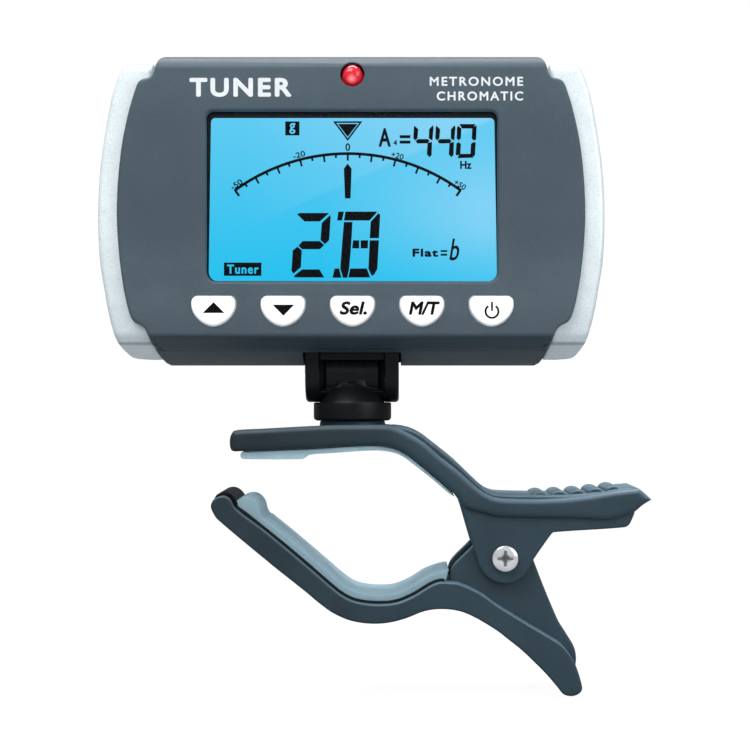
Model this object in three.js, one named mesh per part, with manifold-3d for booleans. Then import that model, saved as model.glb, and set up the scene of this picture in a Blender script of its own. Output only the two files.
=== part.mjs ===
// Clip-on instrument tuner and metronome, in millimetres.
// +Z is up, +X is to the right of the display and the display faces -Y.
// The origin is the centre of the upper jaw pad's gripping face, in the middle
// of the clip's width. The head tilts on a pin along X, the neck swivels about
// Z on the clip, and the lower lever turns on a screw along Y.

import * as THREE from 'three';
import { mergeVertices } from 'three/addons/utils/BufferGeometryUtils.js';
import Module from 'manifold-3d';

const wasm = await Module();
wasm.setup();

// ---------------------------------------------------------------- shared dimensions
// An offset is measured along X from HEAD_X. "Front" is -Y and "rear" is +Y.
const HEAD_X = 10.4;            // swivel axis and middle of the head
const FACE_Y = -8.0;            // front face of the head
const BACK_Y = 5.0;             // rear face of the head
const SPLIT_Y = -4.65;          // parting plane between the front and rear shells
const SPLIT_GAP = 0.05;
const FACE_INNER_Y = -6.8;      // inside of the front face
const BACK_INNER_Y = 3.9;       // inside of the rear wall
const FRONT_WING_T = 1.1;       // plates of the shells that cover the end caps
const REAR_WING_T = 1.0;
const BODY_HALF_WIDTH = 25.8;   // casing between the end caps
const CAVITY_HALF_WIDTH = 24.6;
const CAVITY_Z = [15.6, 51.5];
const FRONT_CAVITY_Z0 = 16.65;
const PROFILE_HALF_WIDTH = 34;  // side profiles run past the head's edges
const WINDOW = { halfWidth: 18.77, z0: 23.23, z1: 45.3, corner: 0.8 };
const LED_Z = 49.9;
const BUZZER = { x: HEAD_X + 18.8, z: 33 };
const CELL = { z: 37.0, radius: 10.0, thickness: 3.2, y0: 0.35, sides: 22 };
const DOOR = { halfWidth: 11.0, z0: 25.5, rail: 0.9, gap: 0.15 };
const HOOK = { inner: 24.0, y: [-2.0, 1.0], z: [29.9, 36.1], gap: 0.3 }; // on the end caps
const BOSS = { offset: 22.4, z: [24.5, 48.8], radius: 1.9 };             // case screws
const BOSS_SITES = [-1, 1].flatMap(
  (side) => BOSS.z.map((z) => ({ side, x: HEAD_X + side * BOSS.offset, z })),
);
const SIDES = [['left', -1], ['right', 1]];

const SWITCH_Z = 19.4;
const KEY = {
  pitch: 9.0,
  rowOffset: 0.18,              // the row sits slightly off the middle
  halfWidth: 2.85,
  z: [17.35, 21.2],
  corner: 0.85,
  lowerHeight: 2.75,            // height of the round lower edge
  roundness: 1.55,              // superellipse exponent of that edge; 2 is an ellipse
  proud: 0.55,
  clearance: 0.12,
};
const KEYS = ['up', 'down', 'select', 'mode', 'power'].map(
  (name, i) => ({ name, x: HEAD_X + KEY.rowOffset + (i - 2) * KEY.pitch }),
);

const TILT_Z = 11.0;            // tilt axis height, at the swivel axis
const EAR_RADIUS = 3.6;         // ears of the tilt bracket
const EAR_HALF_WIDTH = 6.2;
const EAR_GAP_AXIS = 1.5;       // half gap between the ears at the tilt axis
const EAR_GAP_RIM = 4.35;       // half gap between the ears at their rim
const BRACKET = { y1: 6.6, shelfZ: [14.0, 15.2], screwOffset: 3.6, screwZ: 20 };

const LEVER_HALF_WIDTH = 7.25;
const PAD_HALF_WIDTH = 6.0;
const UPPER_EAR_Y = [5.25, 6.45];
const LOWER_EAR_Y = [3.8, 5.0];
const PIVOT = { x: 30.44, z: -12.9, radius: 1.0 };

// ---------------------------------------------------------------- clip outlines, [x, z]
const UPPER_BAND = [
  [-5.38, 2.81], [-5.38, 1.64], [-5.19, 1.19], [-4.81, 1.04], [4.42, 1.38], [11.69, 1.81],
  [13.97, 1.81], [15.84, 1.51], [17.22, 0.92], [18.57, 0], [21.62, -2.52], [23.71, -4.42],
  [24.16, -4.99], [25.26, -6.29], [27.47, -6.94], [29.35, -7.45], [33.25, -7.58], [40.26, -7.71],
  [43.7, -7.84], [45.58, -7.45], [47.27, -6.81], [48.31, -5.97], [49.5, -5.22], [48.57, -4.36],
  [47.87, -3.79], [44.81, -4.13], [40.26, -4.83], [35.58, -5.18], [30.91, -5.12], [29.74, -5.04],
  [28.57, -4.77], [27.14, -3.95], [24.16, -1.35], [21.82, 0.47], [20.91, 1.3], [20, 2.08],
  [19.09, 2.7], [18.14, 3.25], [17.01, 3.84], [15.45, 4.39], [13.9, 4.5], [10.78, 4.5],
  [7.66, 4.47], [4.55, 4.34], [-1.17, 4.03], [-4.29, 3.87], [-4.94, 3.71], [-5.19, 3.32],
];
const UPPER_RIB = [
  [17.01, 3.06], [18.18, 2.42], [20, 1.25], [21.82, -0.31], [24.16, -2.13], [26.88, -4.47],
  [28.57, -5.51], [30.91, -5.83], [35.58, -5.9], [40.26, -5.51], [44.81, -4.86], [47.6, -4.73],
  [47.7, -4.12], [46.9, -3.8], [45.6, -3.95], [43.6, -4.28], [41.3, -4.55], [38.9, -4.72],
  [36.4, -4.77], [33.64, -4.75], [30.13, -4.65], [28.96, -4.49], [27.92, -4.01], [26.79, -3.03],
  [24.03, -0.39], [21.66, 1.56], [20.78, 2.23], [19.87, 2.94], [18.96, 3.51], [18.09, 3.9],
  [16.75, 4.18], [16.23, 3.71],
];
// Crests of the ridges across the upper handle.
const RIDGES = [[35.1, -4.37], [37.64, -4.27], [40.12, -4.13], [42.5, -3.88], [44.78, -3.61]];
const UPPER_EAR = [
  [23.7, -4.0], [24.16, -4.99], [24.68, -6.03], [25.32, -8.1], [25.79, -9.74], [26.23, -11.22],
  [26.6, -12.39], [27.09, -13.95], [27.71, -14.86], [28.57, -15.51], [29.48, -15.9],
  [30.44, -16.03], [31.43, -15.94], [32.34, -15.56], [33.12, -14.91], [33.69, -14.08],
  [34.19, -13.06], [36.36, -9.79], [36.75, -9.53], [46.03, -8.88], [46.62, -8.56],
  [47.01, -7.84], [47.36, -6.94], [47.4, -6.03], [42.73, -5.64], [35.58, -6.03], [30.91, -6.03],
  [28.44, -5.64], [26.62, -4.21], [24.81, -3.17],
];
const UPPER_PAD = [
  [-3.83, 0.96], [-4.05, 0.73], [-4.08, 0.34], [-3.92, 0.08], [-3.64, 0], [3.9, 0], [4.34, 0.16],
  [4.68, 0.52], [8.18, 0.81], [13.04, 1.12], [15.13, 1], [16.75, 0.52], [18.57, -0.73],
  [20.91, -2.57], [23.25, -4.55], [23.86, -4.88], [23.68, -4.53], [21.58, -2.64], [18.52, -0.1],
  [17.17, 0.83], [15.81, 1.42], [13.97, 1.71], [11.69, 1.71], [4.42, 1.28],
];
const LOWER_BAND = [
  [-7.53, -7.01], [-7.0, -7.78], [-0.12, -13.55], [2.99, -16.03], [4.55, -17.27], [6.1, -18.57],
  [7.66, -19.74], [8.96, -20.44], [10.52, -21.01], [12.81, -21.35], [15.13, -21.25],
  [17.4, -20.7], [19.74, -19.79], [21.43, -19.48], [23.25, -19.51], [24.81, -19.82],
  [26.36, -20.47], [27.92, -21.35], [29.48, -22.34], [31.04, -23.56], [32.6, -24.81],
  [34.16, -26.29], [35.71, -27.84], [37.27, -29.66], [37.99, -30.51], [38.83, -30.77],
  [39.61, -30.66], [40.26, -30.25], [40.45, -29.66], [39.81, -27.32], [39.09, -25.7],
  [37.92, -24.21], [36.75, -23.38], [33.25, -21.3], [29.35, -18.88], [27.14, -17.32],
  [24.42, -16.1], [22.99, -15.95], [21.82, -15.95], [20.65, -16.42], [18.57, -17.68],
  [16.23, -18.62], [13.97, -18.82], [11.65, -18.62], [10, -18.1], [8.4, -17.06], [5.84, -14.86],
  [2.34, -11.87], [-1.34, -8.88], [-4.58, -6.4], [-5.3, -5.2], [-6.0, -4.72], [-6.6, -4.72],
  [-7.34, -5.04], [-7.73, -5.57], [-7.86, -6.16],
];
const LOWER_WEB = [
  [23.3, -17.3], [24.42, -17.5], [27.14, -18.6], [29.35, -20.05], [33.25, -22.39],
  [37.27, -24.99], [39.09, -27.06], [39.75, -27.4], [39.85, -25.9], [39.53, -24.55],
  [38.57, -22.91], [37.32, -20.83], [34.19, -13.06], [34.19, -12.26], [33.64, -10.9],
  [32.6, -9.79], [31.3, -9.21], [29.61, -8.75], [28.83, -7.73], [27.94, -7.38], [27.27, -8.75],
  [26.95, -10.18], [26.19, -11.22], [23.51, -13.95], [22.98, -15.2], [22.9, -16.6],
];
const LOWER_PAD = [
  [-4.4, -6.45], [-1.31, -8.85], [2.37, -11.84], [5.87, -14.82], [8.43, -17.01], [10.02, -18.04],
  [11.66, -18.55], [13.97, -18.75], [16.22, -18.56], [18.55, -17.61], [20.63, -16.35],
  [21.78, -15.88], [22.66, -15.86], [22.59, -14.68], [21.51, -14.82], [20.1, -15.38],
  [18.05, -16.63], [15.95, -17.49], [13.97, -17.65], [11.86, -17.47], [10.51, -17.05],
  [9.12, -16.14], [6.6, -13.97], [3.09, -10.97], [-0.6, -7.98], [-1.04, -7.74], [-1.4, -7.06],
  [-1.58, -6.29], [-1.95, -5.64], [-2.47, -5.16], [-3.12, -4.94], [-3.9, -5.04], [-4.45, -5.32],
  [-4.72, -5.7], [-4.68, -6.1],
];

// ---------------------------------------------------------------- head outlines
// Edges are [offset, z] of the right side, top to bottom.
const FACE_EDGE = [
  [24.3, 52.5], [25.0, 51.95], [25.35, 51.1], [25.7, 50.0], [26.2, 49.6], [27.0, 49.4],
  [27.6, 48.95], [28.05, 47.8], [28.6, 46.05], [29.2, 43.6], [29.7, 41.0], [30.05, 38.2],
  [30.28, 35.3], [30.38, 32.0], [30.28, 29.2], [30.05, 26.3], [29.7, 23.5], [29.2, 20.7],
  [28.6, 18.6], [28.1, 17.85], [27.4, 17.5], [26.8, 17.05], [26.45, 16.4], [25.9, 15.0],
  [25.4, 13.3], [24.95, 12.6], [24.2, 12.2],
];
const CAP_EDGE = [
  [25.95, 51.7], [29.05, 51.7], [29.65, 51.3], [30.15, 50.4], [30.85, 48.6], [31.3, 47.0],
  [31.85, 44.1], [32.35, 41], [32.75, 37.9], [32.97, 34.8], [33.05, 31.6], [32.97, 28.5],
  [32.75, 25.4], [32.25, 22.3], [31.7, 19.2], [30.95, 16.3], [30.35, 14.7], [29.65, 13.6],
  [29, 12.95], [27.5, 12.7], [25.95, 12.7],
];
// Side profiles are [y, z].
const SIDE_PROFILE = [
  [-8, 16.0], [-5, 14.3], [1.2, 12.3], [3.6, 12.45], [4.6, 13.0], [5, 13.9], [5, 51.0],
  [4.7, 51.8], [3.9, 52.35], [-6.2, 52.5], [-7.2, 52.1], [-8, 51.1],
];
const CAP_PROFILE = [
  [-6.78, 16.3], [-5, 14.75], [1, 12.9], [3.0, 12.8], [3.88, 13.4], [3.88, 51.1], [3.1, 51.7],
  [-5.6, 51.7], [-6.78, 50.9],
];

// ---------------------------------------------------------------- materials
const STEEL = 0xc8ccd0;
const DARK = 0x2f3840;
const BLACK = 0x1b1e24;
const FINISH = {
  frontCasing: { color: 0x59656f, roughness: 0.55 },
  rearCasing: { color: DARK, roughness: 0.6 },
  endCap: { color: 0xdfe6ea, roughness: 0.35, metalness: 0.6 },
  lens: { color: 0xcfe8f2, roughness: 0.08, transparent: true, opacity: 0.35 },
  display: { color: 0x5cc4ee, roughness: 0.2 },
  backlight: { color: 0xf2f7fa, roughness: 0.5 },
  zebra: { color: 0x2b2b2b, roughness: 0.8 },
  board: { color: 0x1f6b3a, roughness: 0.5 },
  blob: { color: 0x15161a, roughness: 0.45 },
  led: { color: 0xd8203a, roughness: 0.15 },
  switch: { color: 0x3a3d42, roughness: 0.5 },
  buzzer: { color: 0xc9a648, roughness: 0.4, metalness: 0.8 },
  pickup: { color: 0xcdb25a, roughness: 0.35, metalness: 0.85 },
  contact: { color: 0xd6c27a, roughness: 0.3, metalness: 0.9 },
  key: { color: 0xf2f2ef, roughness: 0.4 },
  bracket: { color: BLACK, roughness: 0.5 },
  post: { color: BLACK, roughness: 0.45 },
  lever: { color: DARK, roughness: 0.5 },
  pad: { color: 0x9fbccb, roughness: 0.75 },
  steel: { color: STEEL, roughness: 0.3, metalness: 0.9 },
  dullSteel: { color: STEEL, roughness: 0.35, metalness: 0.9 },
  cellSteel: { color: STEEL, roughness: 0.25, metalness: 0.95 },
  pivotScrew: { color: 0xe2e4e6, roughness: 0.2, metalness: 1 },
};

// ---------------------------------------------------------------- solids
function solid(geometry) {
  const bare = geometry.index ? geometry.toNonIndexed() : geometry;
  bare.deleteAttribute('normal');
  bare.deleteAttribute('uv');
  const merged = mergeVertices(bare, 1e-5);
  const mesh = new wasm.Mesh({
    numProp: 3,
    vertProperties: new Float32Array(merged.attributes.position.array),
    triVerts: new Uint32Array(merged.index.array),
  });
  mesh.merge();
  return new wasm.Manifold(mesh);
}

function place(geometry, matrix) {
  geometry.applyMatrix4(matrix);
  return solid(geometry);
}

const moved = (x, y, z) => new THREE.Matrix4().makeTranslation(x, y, z);
const basis = (...axes) => new THREE.Matrix4().makeBasis(
  ...axes.map((axis) => new THREE.Vector3(...axis)),
);
// World directions of an extrusion's shape x, shape y and depth.
const EXTRUDE_Y = basis([1, 0, 0], [0, 0, 1], [0, -1, 0]);
const EXTRUDE_X = basis([0, 1, 0], [0, 0, 1], [1, 0, 0]);

function shapeOf(points) {
  return new THREE.Shape(points.map(([a, b]) => new THREE.Vector2(a, b)));
}

// [x, z] outline between two y values, with an optional bevelled edge.
function alongY(points, y0, y1, edge = 0) {
  const geometry = new THREE.ExtrudeGeometry(shapeOf(points), {
    depth: y1 - y0 - 2 * edge,
    bevelEnabled: edge > 0,
    bevelThickness: edge,
    bevelSize: edge,
    bevelOffset: -edge,
    bevelSegments: 1,
  });
  geometry.translate(0, 0, edge);
  return place(geometry, moved(0, y1, 0).multiply(EXTRUDE_Y));
}

// The same outline extruded on both sides of the clip's middle plane.
function pairAlongY(points, [inner, outer]) {
  return alongY(points, -outer, -inner).add(alongY(points, inner, outer));
}

// [y, z] outline between two x values, centred on the head.
function acrossHead(points, halfWidth) {
  const geometry = new THREE.ExtrudeGeometry(shapeOf(points), {
    depth: 2 * halfWidth,
    bevelEnabled: false,
  });
  return place(geometry, moved(HEAD_X - halfWidth, 0, 0).multiply(EXTRUDE_X));
}

// Box between two limits on each axis, given in either order.
function box(x0, x1, y0, y1, z0, z1) {
  const size = [x1 - x0, y1 - y0, z1 - z0].map(Math.abs);
  const middle = moved((x0 + x1) / 2, (y0 + y1) / 2, (z0 + z1) / 2);
  return place(new THREE.BoxGeometry(...size), middle);
}
const headBox = (halfWidth, ...yz) => box(HEAD_X - halfWidth, HEAD_X + halfWidth, ...yz);
// Box between two offsets on one side of the head.
const sideBox = (side, offset0, offset1, ...yz) => (
  box(HEAD_X + side * offset0, HEAD_X + side * offset1, ...yz)
);

// Solid of revolution from [radius, distance along the axis] points.
function turned(points, axis, origin, sides) {
  const lathe = new THREE.LatheGeometry(points.map(([r, h]) => new THREE.Vector2(r, h)), sides);
  const turn = new THREE.Matrix4();
  if (axis === 'X') turn.makeRotationZ(-Math.PI / 2);
  if (axis === 'Z') turn.makeRotationX(Math.PI / 2);
  const body = place(lathe, moved(...origin).multiply(turn));
  if (body.volume() >= 0) return body;
  // The profile ran the other way, so turn every triangle over.
  const index = lathe.index.array;
  for (let i = 0; i < index.length; i += 3) {
    [index[i], index[i + 1]] = [index[i + 1], index[i]];
  }
  return solid(lathe);
}
const turnedY = (points, x, z, sides) => turned(points, 'Y', [x, 0, z], sides);
const turnedTilt = (points, sides) => turned(points, 'X', [HEAD_X, 0, TILT_Z], sides);
const turnedSwivel = (points, sides) => turned(points, 'Z', [HEAD_X, 0, 0], sides);

// Profile of a rod, with an optional chamfer at both ends.
function rodProfile(radius, from, to, chamfer = 0) {
  if (chamfer === 0) return [[0, from], [radius, from], [radius, to], [0, to]];
  return [
    [0, from], [radius - chamfer, from], [radius, from + chamfer],
    [radius, to - chamfer], [radius - chamfer, to], [0, to],
  ];
}
const rodY = (x, z, radius, y0, y1, sides) => turnedY(rodProfile(radius, y0, y1), x, z, sides);
const tiltRod = (radius, reach, sides) => turnedTilt(rodProfile(radius, -reach, reach), sides);
const swivelRod = (radius, z0, z1, sides) => turnedSwivel(rodProfile(radius, z0, z1), sides);

// Ring with a rectangular section, closed on itself.
function ringProfile(inner, outer, from, to) {
  return [[inner, from], [outer, from], [outer, to], [inner, to], [inner, from]];
}

// Points from one angle to another, in degrees.
function arc(centreX, centreZ, radius, from, to, steps, radiusZ = radius) {
  return Array.from({ length: steps + 1 }, (_, i) => {
    const angle = (from + ((to - from) * i) / steps) * Math.PI / 180;
    return [centreX + radius * Math.cos(angle), centreZ + radiusZ * Math.sin(angle)];
  });
}
const hexagon = (x, z, radius) => arc(x, z, radius, 0, 360, 6).slice(0, 6);

function roundedRect(x0, x1, z0, z1, radius, steps = 5) {
  return [
    ...arc(x1 - radius, z0 + radius, radius, -90, 0, steps),
    ...arc(x1 - radius, z1 - radius, radius, 0, 90, steps),
    ...arc(x0 + radius, z1 - radius, radius, 90, 180, steps),
    ...arc(x0 + radius, z0 + radius, radius, 180, 270, steps),
  ];
}
const headRect = (halfWidth, ...rest) => (
  roundedRect(HEAD_X - halfWidth, HEAD_X + halfWidth, ...rest)
);

// Outline from its right-hand [offset, z] edge.
function mirrored(edge) {
  const right = edge.map(([offset, z]) => [HEAD_X + offset, z]);
  const left = edge.map(([offset, z]) => [HEAD_X - offset, z]);
  return [...right.reverse(), ...left];
}

const union = (first, ...rest) => rest.reduce((a, b) => a.add(b), first);
const cut = (first, ...rest) => rest.reduce((a, b) => a.subtract(b), first);

// Cross-recessed screw along Y; direction is 1 for a head towards +Y, -1 for -Y.
// seatY is the underside of the head; recess is a share of the head's radius.
function screwY(x, z, {
  seatY, direction = 1, headRadius, headHeight, shankRadius, length, recess = 0.62,
}) {
  const y = (distance) => seatY + direction * distance;
  const screw = turnedY([
    [0, y(-length)], [shankRadius * 0.6, y(-length)],
    [shankRadius, y(0.5 - length)], [shankRadius, seatY],
    [headRadius, seatY], [headRadius, y(headHeight * 0.45)],
    [headRadius * 0.82, y(headHeight * 0.82)],
    [headRadius * 0.45, y(headHeight)], [0, y(headHeight)],
  ], x, z, 18);
  const slotY = [y(headHeight * 0.35), y(headHeight + 0.5)];
  const reach = headRadius * recess;
  const half = 0.19; // half width of a slot
  return cut(
    screw,
    box(x - reach, x + reach, ...slotY, z - half, z + half),
    box(x - half, x + half, ...slotY, z - reach, z + reach),
  );
}

const group = new THREE.Group();

function part(name, body, finish) {
  const { vertProperties, triVerts } = body.getMesh();
  const geometry = new THREE.BufferGeometry();
  geometry.setAttribute('position', new THREE.BufferAttribute(new Float32Array(vertProperties), 3));
  geometry.setIndex(new THREE.BufferAttribute(new Uint32Array(triVerts), 1));
  geometry.computeVertexNormals();
  const mesh = new THREE.Mesh(geometry, new THREE.MeshStandardMaterial(finish));
  mesh.name = name;
  group.add(mesh);
}

// ---------------------------------------------------------------- head casing
// Slice of the casing, with the end caps' room (reliefY0 to reliefY1) taken out.
function casingSlice(y0, y1, reliefY0, reliefY1) {
  const slice = alongY(mirrored(FACE_EDGE), y0, y1)
    .intersect(acrossHead(SIDE_PROFILE, PROFILE_HALF_WIDTH));
  const relief = headBox(40, reliefY0, reliefY1, 0, 70)
    .subtract(headBox(BODY_HALF_WIDTH, -20, 20, 0, 70));
  return slice.subtract(relief);
}

// Key outline: flat top, upright sides and a round lower edge.
function keyOutline(x, grow = 0) {
  const halfWidth = KEY.halfWidth + grow;
  const bottom = KEY.z[0] - grow;
  const shoulder = bottom + KEY.lowerHeight;
  const cornerZ = KEY.z[1] + grow - KEY.corner;
  const swell = (value) => Math.sign(value) * Math.abs(value) ** (2 / KEY.roundness);
  const lower = arc(0, 0, 1, 180, 360, 14).map(([across, up]) => [
    x + halfWidth * swell(across),
    shoulder + KEY.lowerHeight * swell(up),
  ]);
  return [
    ...lower,
    ...arc(x + halfWidth - KEY.corner, cornerZ, KEY.corner, 0, 90, 3),
    ...arc(x - halfWidth + KEY.corner, cornerZ, KEY.corner, 90, 180, 3),
  ];
}

function frontShell() {
  let shell = casingSlice(FACE_Y, SPLIT_Y, FACE_Y + FRONT_WING_T, SPLIT_Y + 1);
  shell = shell.subtract(
    headBox(CAVITY_HALF_WIDTH, FACE_INNER_Y, SPLIT_Y + 1, FRONT_CAVITY_Z0, CAVITY_Z[1]),
  );
  for (const { x, z } of BOSS_SITES) {
    shell = shell.add(rodY(x, z, BOSS.radius, FACE_INNER_Y - 0.3, SPLIT_Y, 18));
    shell = shell.subtract(rodY(x, z, 0.9, -6.4, SPLIT_Y + 1, 12));
  }
  // openings through the face
  const throughY = [-9, -6];
  const { halfWidth, z0, z1, corner } = WINDOW;
  return cut(
    shell,
    alongY(headRect(halfWidth, z0, z1, corner), ...throughY),
    rodY(HEAD_X, LED_Z, 1.62, ...throughY, 20),
    ...KEYS.map(({ x }) => alongY(keyOutline(x, KEY.clearance), ...throughY)),
  );
}
part('front_shell', frontShell(), FINISH.frontCasing);

// Sound holes over the buzzer, [x, z] from its centre.
const SOUND_HOLES = [
  [0, 0], [2.2, 0], [-2.2, 0], [1.1, 1.9], [-1.1, 1.9], [1.1, -1.9], [-1.1, -1.9],
];

// Battery well, and the plate that carries the door's rails.
function addBatteryWell(casing) {
  const openingZ = [DOOR.z0 - DOOR.gap, 54]; // open at the top
  const openingY = BACK_INNER_Y - 0.05;
  const opening = DOOR.halfWidth + DOOR.gap;
  const groove = DOOR.halfWidth + DOOR.rail + DOOR.gap;
  return cut(
    union(
      casing,
      rodY(HEAD_X, CELL.z, 11.3, -0.55, BACK_INNER_Y, CELL.sides),
      headBox(13.2, 3.05, BACK_INNER_Y + 0.2, 24.4, CAVITY_Z[1] + 0.2),
    ),
    rodY(HEAD_X, CELL.z, CELL.radius + 0.35, 0.05, 4.4, CELL.sides),
    headBox(opening, openingY, 6, ...openingZ),
    headBox(groove, openingY, 4.5, ...openingZ),
    // contact slots
    sideBox(1, -5.2, -2.6, -1, 0.4, 29.6, 30.6),
    sideBox(1, 9.9, 10.75, -1, 3.6, 35.6, 38.4),
  );
}

function rearShell() {
  let shell = casingSlice(SPLIT_Y + SPLIT_GAP, BACK_Y, SPLIT_Y - 1, BACK_Y - REAR_WING_T);
  shell = shell.subtract(headBox(CAVITY_HALF_WIDTH, SPLIT_Y - 1, BACK_INNER_Y, ...CAVITY_Z));
  // thicker floor over the bracket, and the bracket's notch
  shell = shell.add(headBox(8, SPLIT_Y + 0.3, BACK_INNER_Y + 0.3, 15.3, 16.5));
  const notch = headBox(EAR_HALF_WIDTH + 0.25, -3.9, 7, 10, BRACKET.shelfZ[1] + 0.15);
  shell = shell.subtract(notch);
  for (const { x, z } of BOSS_SITES) {
    shell = shell.add(rodY(x, z, BOSS.radius, SPLIT_Y + SPLIT_GAP, BACK_INNER_Y + 0.2, 18));
  }
  for (const [, side] of SIDES) {
    const x = HEAD_X + side * BRACKET.screwOffset;
    shell = shell.add(rodY(x, BRACKET.screwZ, 1.7, 0.4, BACK_INNER_Y + 0.2, 14));
    shell = shell.subtract(rodY(x, BRACKET.screwZ, 0.8, 0.8, 7, 12));
  }
  shell = addBatteryWell(shell);
  // case screw holes and their counterbores
  for (const { x, z } of BOSS_SITES) {
    shell = cut(shell, rodY(x, z, 0.92, -6, 6, 12), rodY(x, z, 1.75, 2.9, 6, 18));
  }
  for (const [x, z] of SOUND_HOLES) {
    shell = shell.subtract(rodY(BUZZER.x + x, BUZZER.z + z, 0.5, 3, 6, 12));
  }
  // slots for the end caps' hooks
  const { gap, inner, y, z } = HOOK;
  const slotYZ = [y[0] - gap, y[1] + gap, z[0] - gap, z[1] + gap];
  return cut(shell, ...SIDES.map(([, side]) => sideBox(side, inner + gap, 26.2, ...slotYZ)));
}
part('rear_shell', rearShell(), FINISH.rearCasing);

function endCap(side) {
  const outline = CAP_EDGE.map(([offset, z]) => [HEAD_X + side * offset, z]);
  const cap = alongY(outline, -6.78, 3.88).intersect(acrossHead(CAP_PROFILE, PROFILE_HALF_WIDTH));
  const hook = sideBox(side, HOOK.inner, 26.5, ...HOOK.y, ...HOOK.z);
  // hollow from the inner side, below and above the hook
  const hollow = (z0, z1) => sideBox(side, 25.5, 28.4, -5.2, 2.4, z0, z1);
  return cut(cap.add(hook), hollow(17.5, 28.4), hollow(37.6, 48.5));
}
for (const [name, side] of SIDES) part(`end_cap_${name}`, endCap(side), FINISH.endCap);

// ---------------------------------------------------------------- display stack
const STACK_HALF_WIDTH = 19.6;
const STACK_Z0 = 22.3;
const STACK_Z1 = 46.2;
const BACKLIGHT_Y = [-4.35, -2.72];
// name, half width, z0, z1, corner radius, corner steps, [y0, y1], finish
const STACK = [
  ['window_lens', STACK_HALF_WIDTH, STACK_Z0, STACK_Z1, 0.6, 3, [-6.75, -5.95], FINISH.lens],
  ['lcd_panel', STACK_HALF_WIDTH, STACK_Z0, STACK_Z1, 0.2, 2, [-5.85, -4.45], FINISH.display],
  ['backlight_panel', STACK_HALF_WIDTH, STACK_Z0, 44.3, 0.2, 2, BACKLIGHT_Y, FINISH.backlight],
  ['zebra_strip', 17, 44.6, 46.1, 0.2, 2, BACKLIGHT_Y, FINISH.zebra],
];
for (const [name, halfWidth, z0, z1, corner, steps, layerY, finish] of STACK) {
  part(name, alongY(headRect(halfWidth, z0, z1, corner, steps), ...layerY), finish);
}

// ---------------------------------------------------------------- electronics
const BOARD_REAR_Y = -1.6;

// Circuit board, notched from its side edges round the bosses.
function mainBoard() {
  let board = alongY(headRect(23.6, 16.8, 50.6, 0.5, 3), -2.6, BOARD_REAR_Y);
  const room = BOSS.radius + 0.2;
  for (const { side, x, z } of BOSS_SITES) {
    board = cut(
      board,
      rodY(x, z, room, -3, -1, 18),
      sideBox(side, BOSS.offset, BOSS.offset * 1.15, -3, -1, z - room, z + room),
    );
  }
  return board;
}
part('main_pcb', mainBoard(), FINISH.board);

const BOARD_PARTS_Y = BOARD_REAR_Y + 0.05;
part('controller_blob', turnedY([
  [0, BOARD_PARTS_Y], [3.1, BOARD_PARTS_Y], [3.0, -1.2], [2.5, -0.85], [1.5, -0.62], [0, -0.55],
], HEAD_X - 17.6, 38, 18), FINISH.blob);
part(
  'crystal_can',
  alongY(roundedRect(HEAD_X - 20.5, HEAD_X - 15.2, 43.6, 45.4, 0.85), BOARD_PARTS_Y, -0.2),
  FINISH.steel,
);

// LED with a flange, a domed front and two legs back to the board.
function statusLed() {
  const lamp = turnedY([
    [0, -4.6], [1.55, -4.6], [1.55, -5.2], [1.4, -5.2], [1.4, -7.1], [1.3, -7.6],
    [1.02, -8.05], [0.6, -8.32], [0, -8.42],
  ], HEAD_X, LED_Z, 20);
  const leg = (side) => sideBox(side, 0.4, 0.85, -4.8, -2.65, LED_Z - 0.22, LED_Z + 0.22);
  return union(lamp, leg(-1), leg(1));
}
part('status_led', statusLed(), FINISH.led);

function keySwitch(x) {
  const half = 1.9;
  const outline = roundedRect(x - half, x + half, SWITCH_Z - half, SWITCH_Z + half, 0.3, 2);
  const plunger = rodY(x, SWITCH_Z, 0.9, -4.95, -4.2, 12);
  return alongY(outline, -4.45, -2.65).add(plunger);
}
for (const { name, x } of KEYS) part(`switch_${name}`, keySwitch(x), FINISH.switch);

part('buzzer', union(
  turnedY(rodProfile(5.2, 2.2, 3.8, 0.15), BUZZER.x, BUZZER.z, 24),
  rodY(BUZZER.x, BUZZER.z, 4.2, 1.9, 2.4, 20),
), FINISH.buzzer);

const PICKUP = [HEAD_X - 14.5, 20.1]; // x, z
part('pickup_disc', union(
  rodY(...PICKUP, 3.9, 3.45, 3.8, 22),
  rodY(...PICKUP, 2.8, 3.2, 3.6, 20),
), FINISH.pickup);

function coinCell() {
  const { y0, radius, thickness } = CELL;
  const y1 = y0 + thickness;
  return turnedY([
    [0, y0], [8.6, y0], [8.8, y0 + 0.35], [9.7, y0 + 0.35], [radius, y0 + 0.65],
    [radius, y1 - 0.25], [radius - 0.25, y1], [0, y1],
  ], HEAD_X, CELL.z, CELL.sides);
}
part('coin_cell', coinCell(), FINISH.cellSteel);

// Crossbar with two upright strips, and a tail towards the board.
function negativeContact() {
  const sheetY = [0.1, 0.28];
  return union(
    headBox(6, ...sheetY, 29.7, 30.5),
    sideBox(-1, 4.4, 5.6, ...sheetY, 30.2, 40),
    sideBox(1, 4.4, 5.6, ...sheetY, 30.2, 40),
    sideBox(-1, 2.9, 4.9, -1.5, 0.2, 29.85, 30.15),
  );
}
part('contact_negative', negativeContact(), FINISH.contact);
part('contact_positive', sideBox(1, 10.12, 10.32, -1.5, 3.3, 35.8, 38.2), FINISH.contact);

const CASE_SCREW = {
  seatY: 2.95, headRadius: 1.6, headHeight: 1.2, shankRadius: 0.85, length: 8.9,
};
for (const [row, z] of [['t', BOSS.z[1]], ['b', BOSS.z[0]]]) {
  for (const [name, side] of SIDES) {
    const screw = screwY(HEAD_X + side * BOSS.offset, z, CASE_SCREW);
    part(`case_screw_${row}${name[0]}`, screw, FINISH.steel);
  }
}

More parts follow.
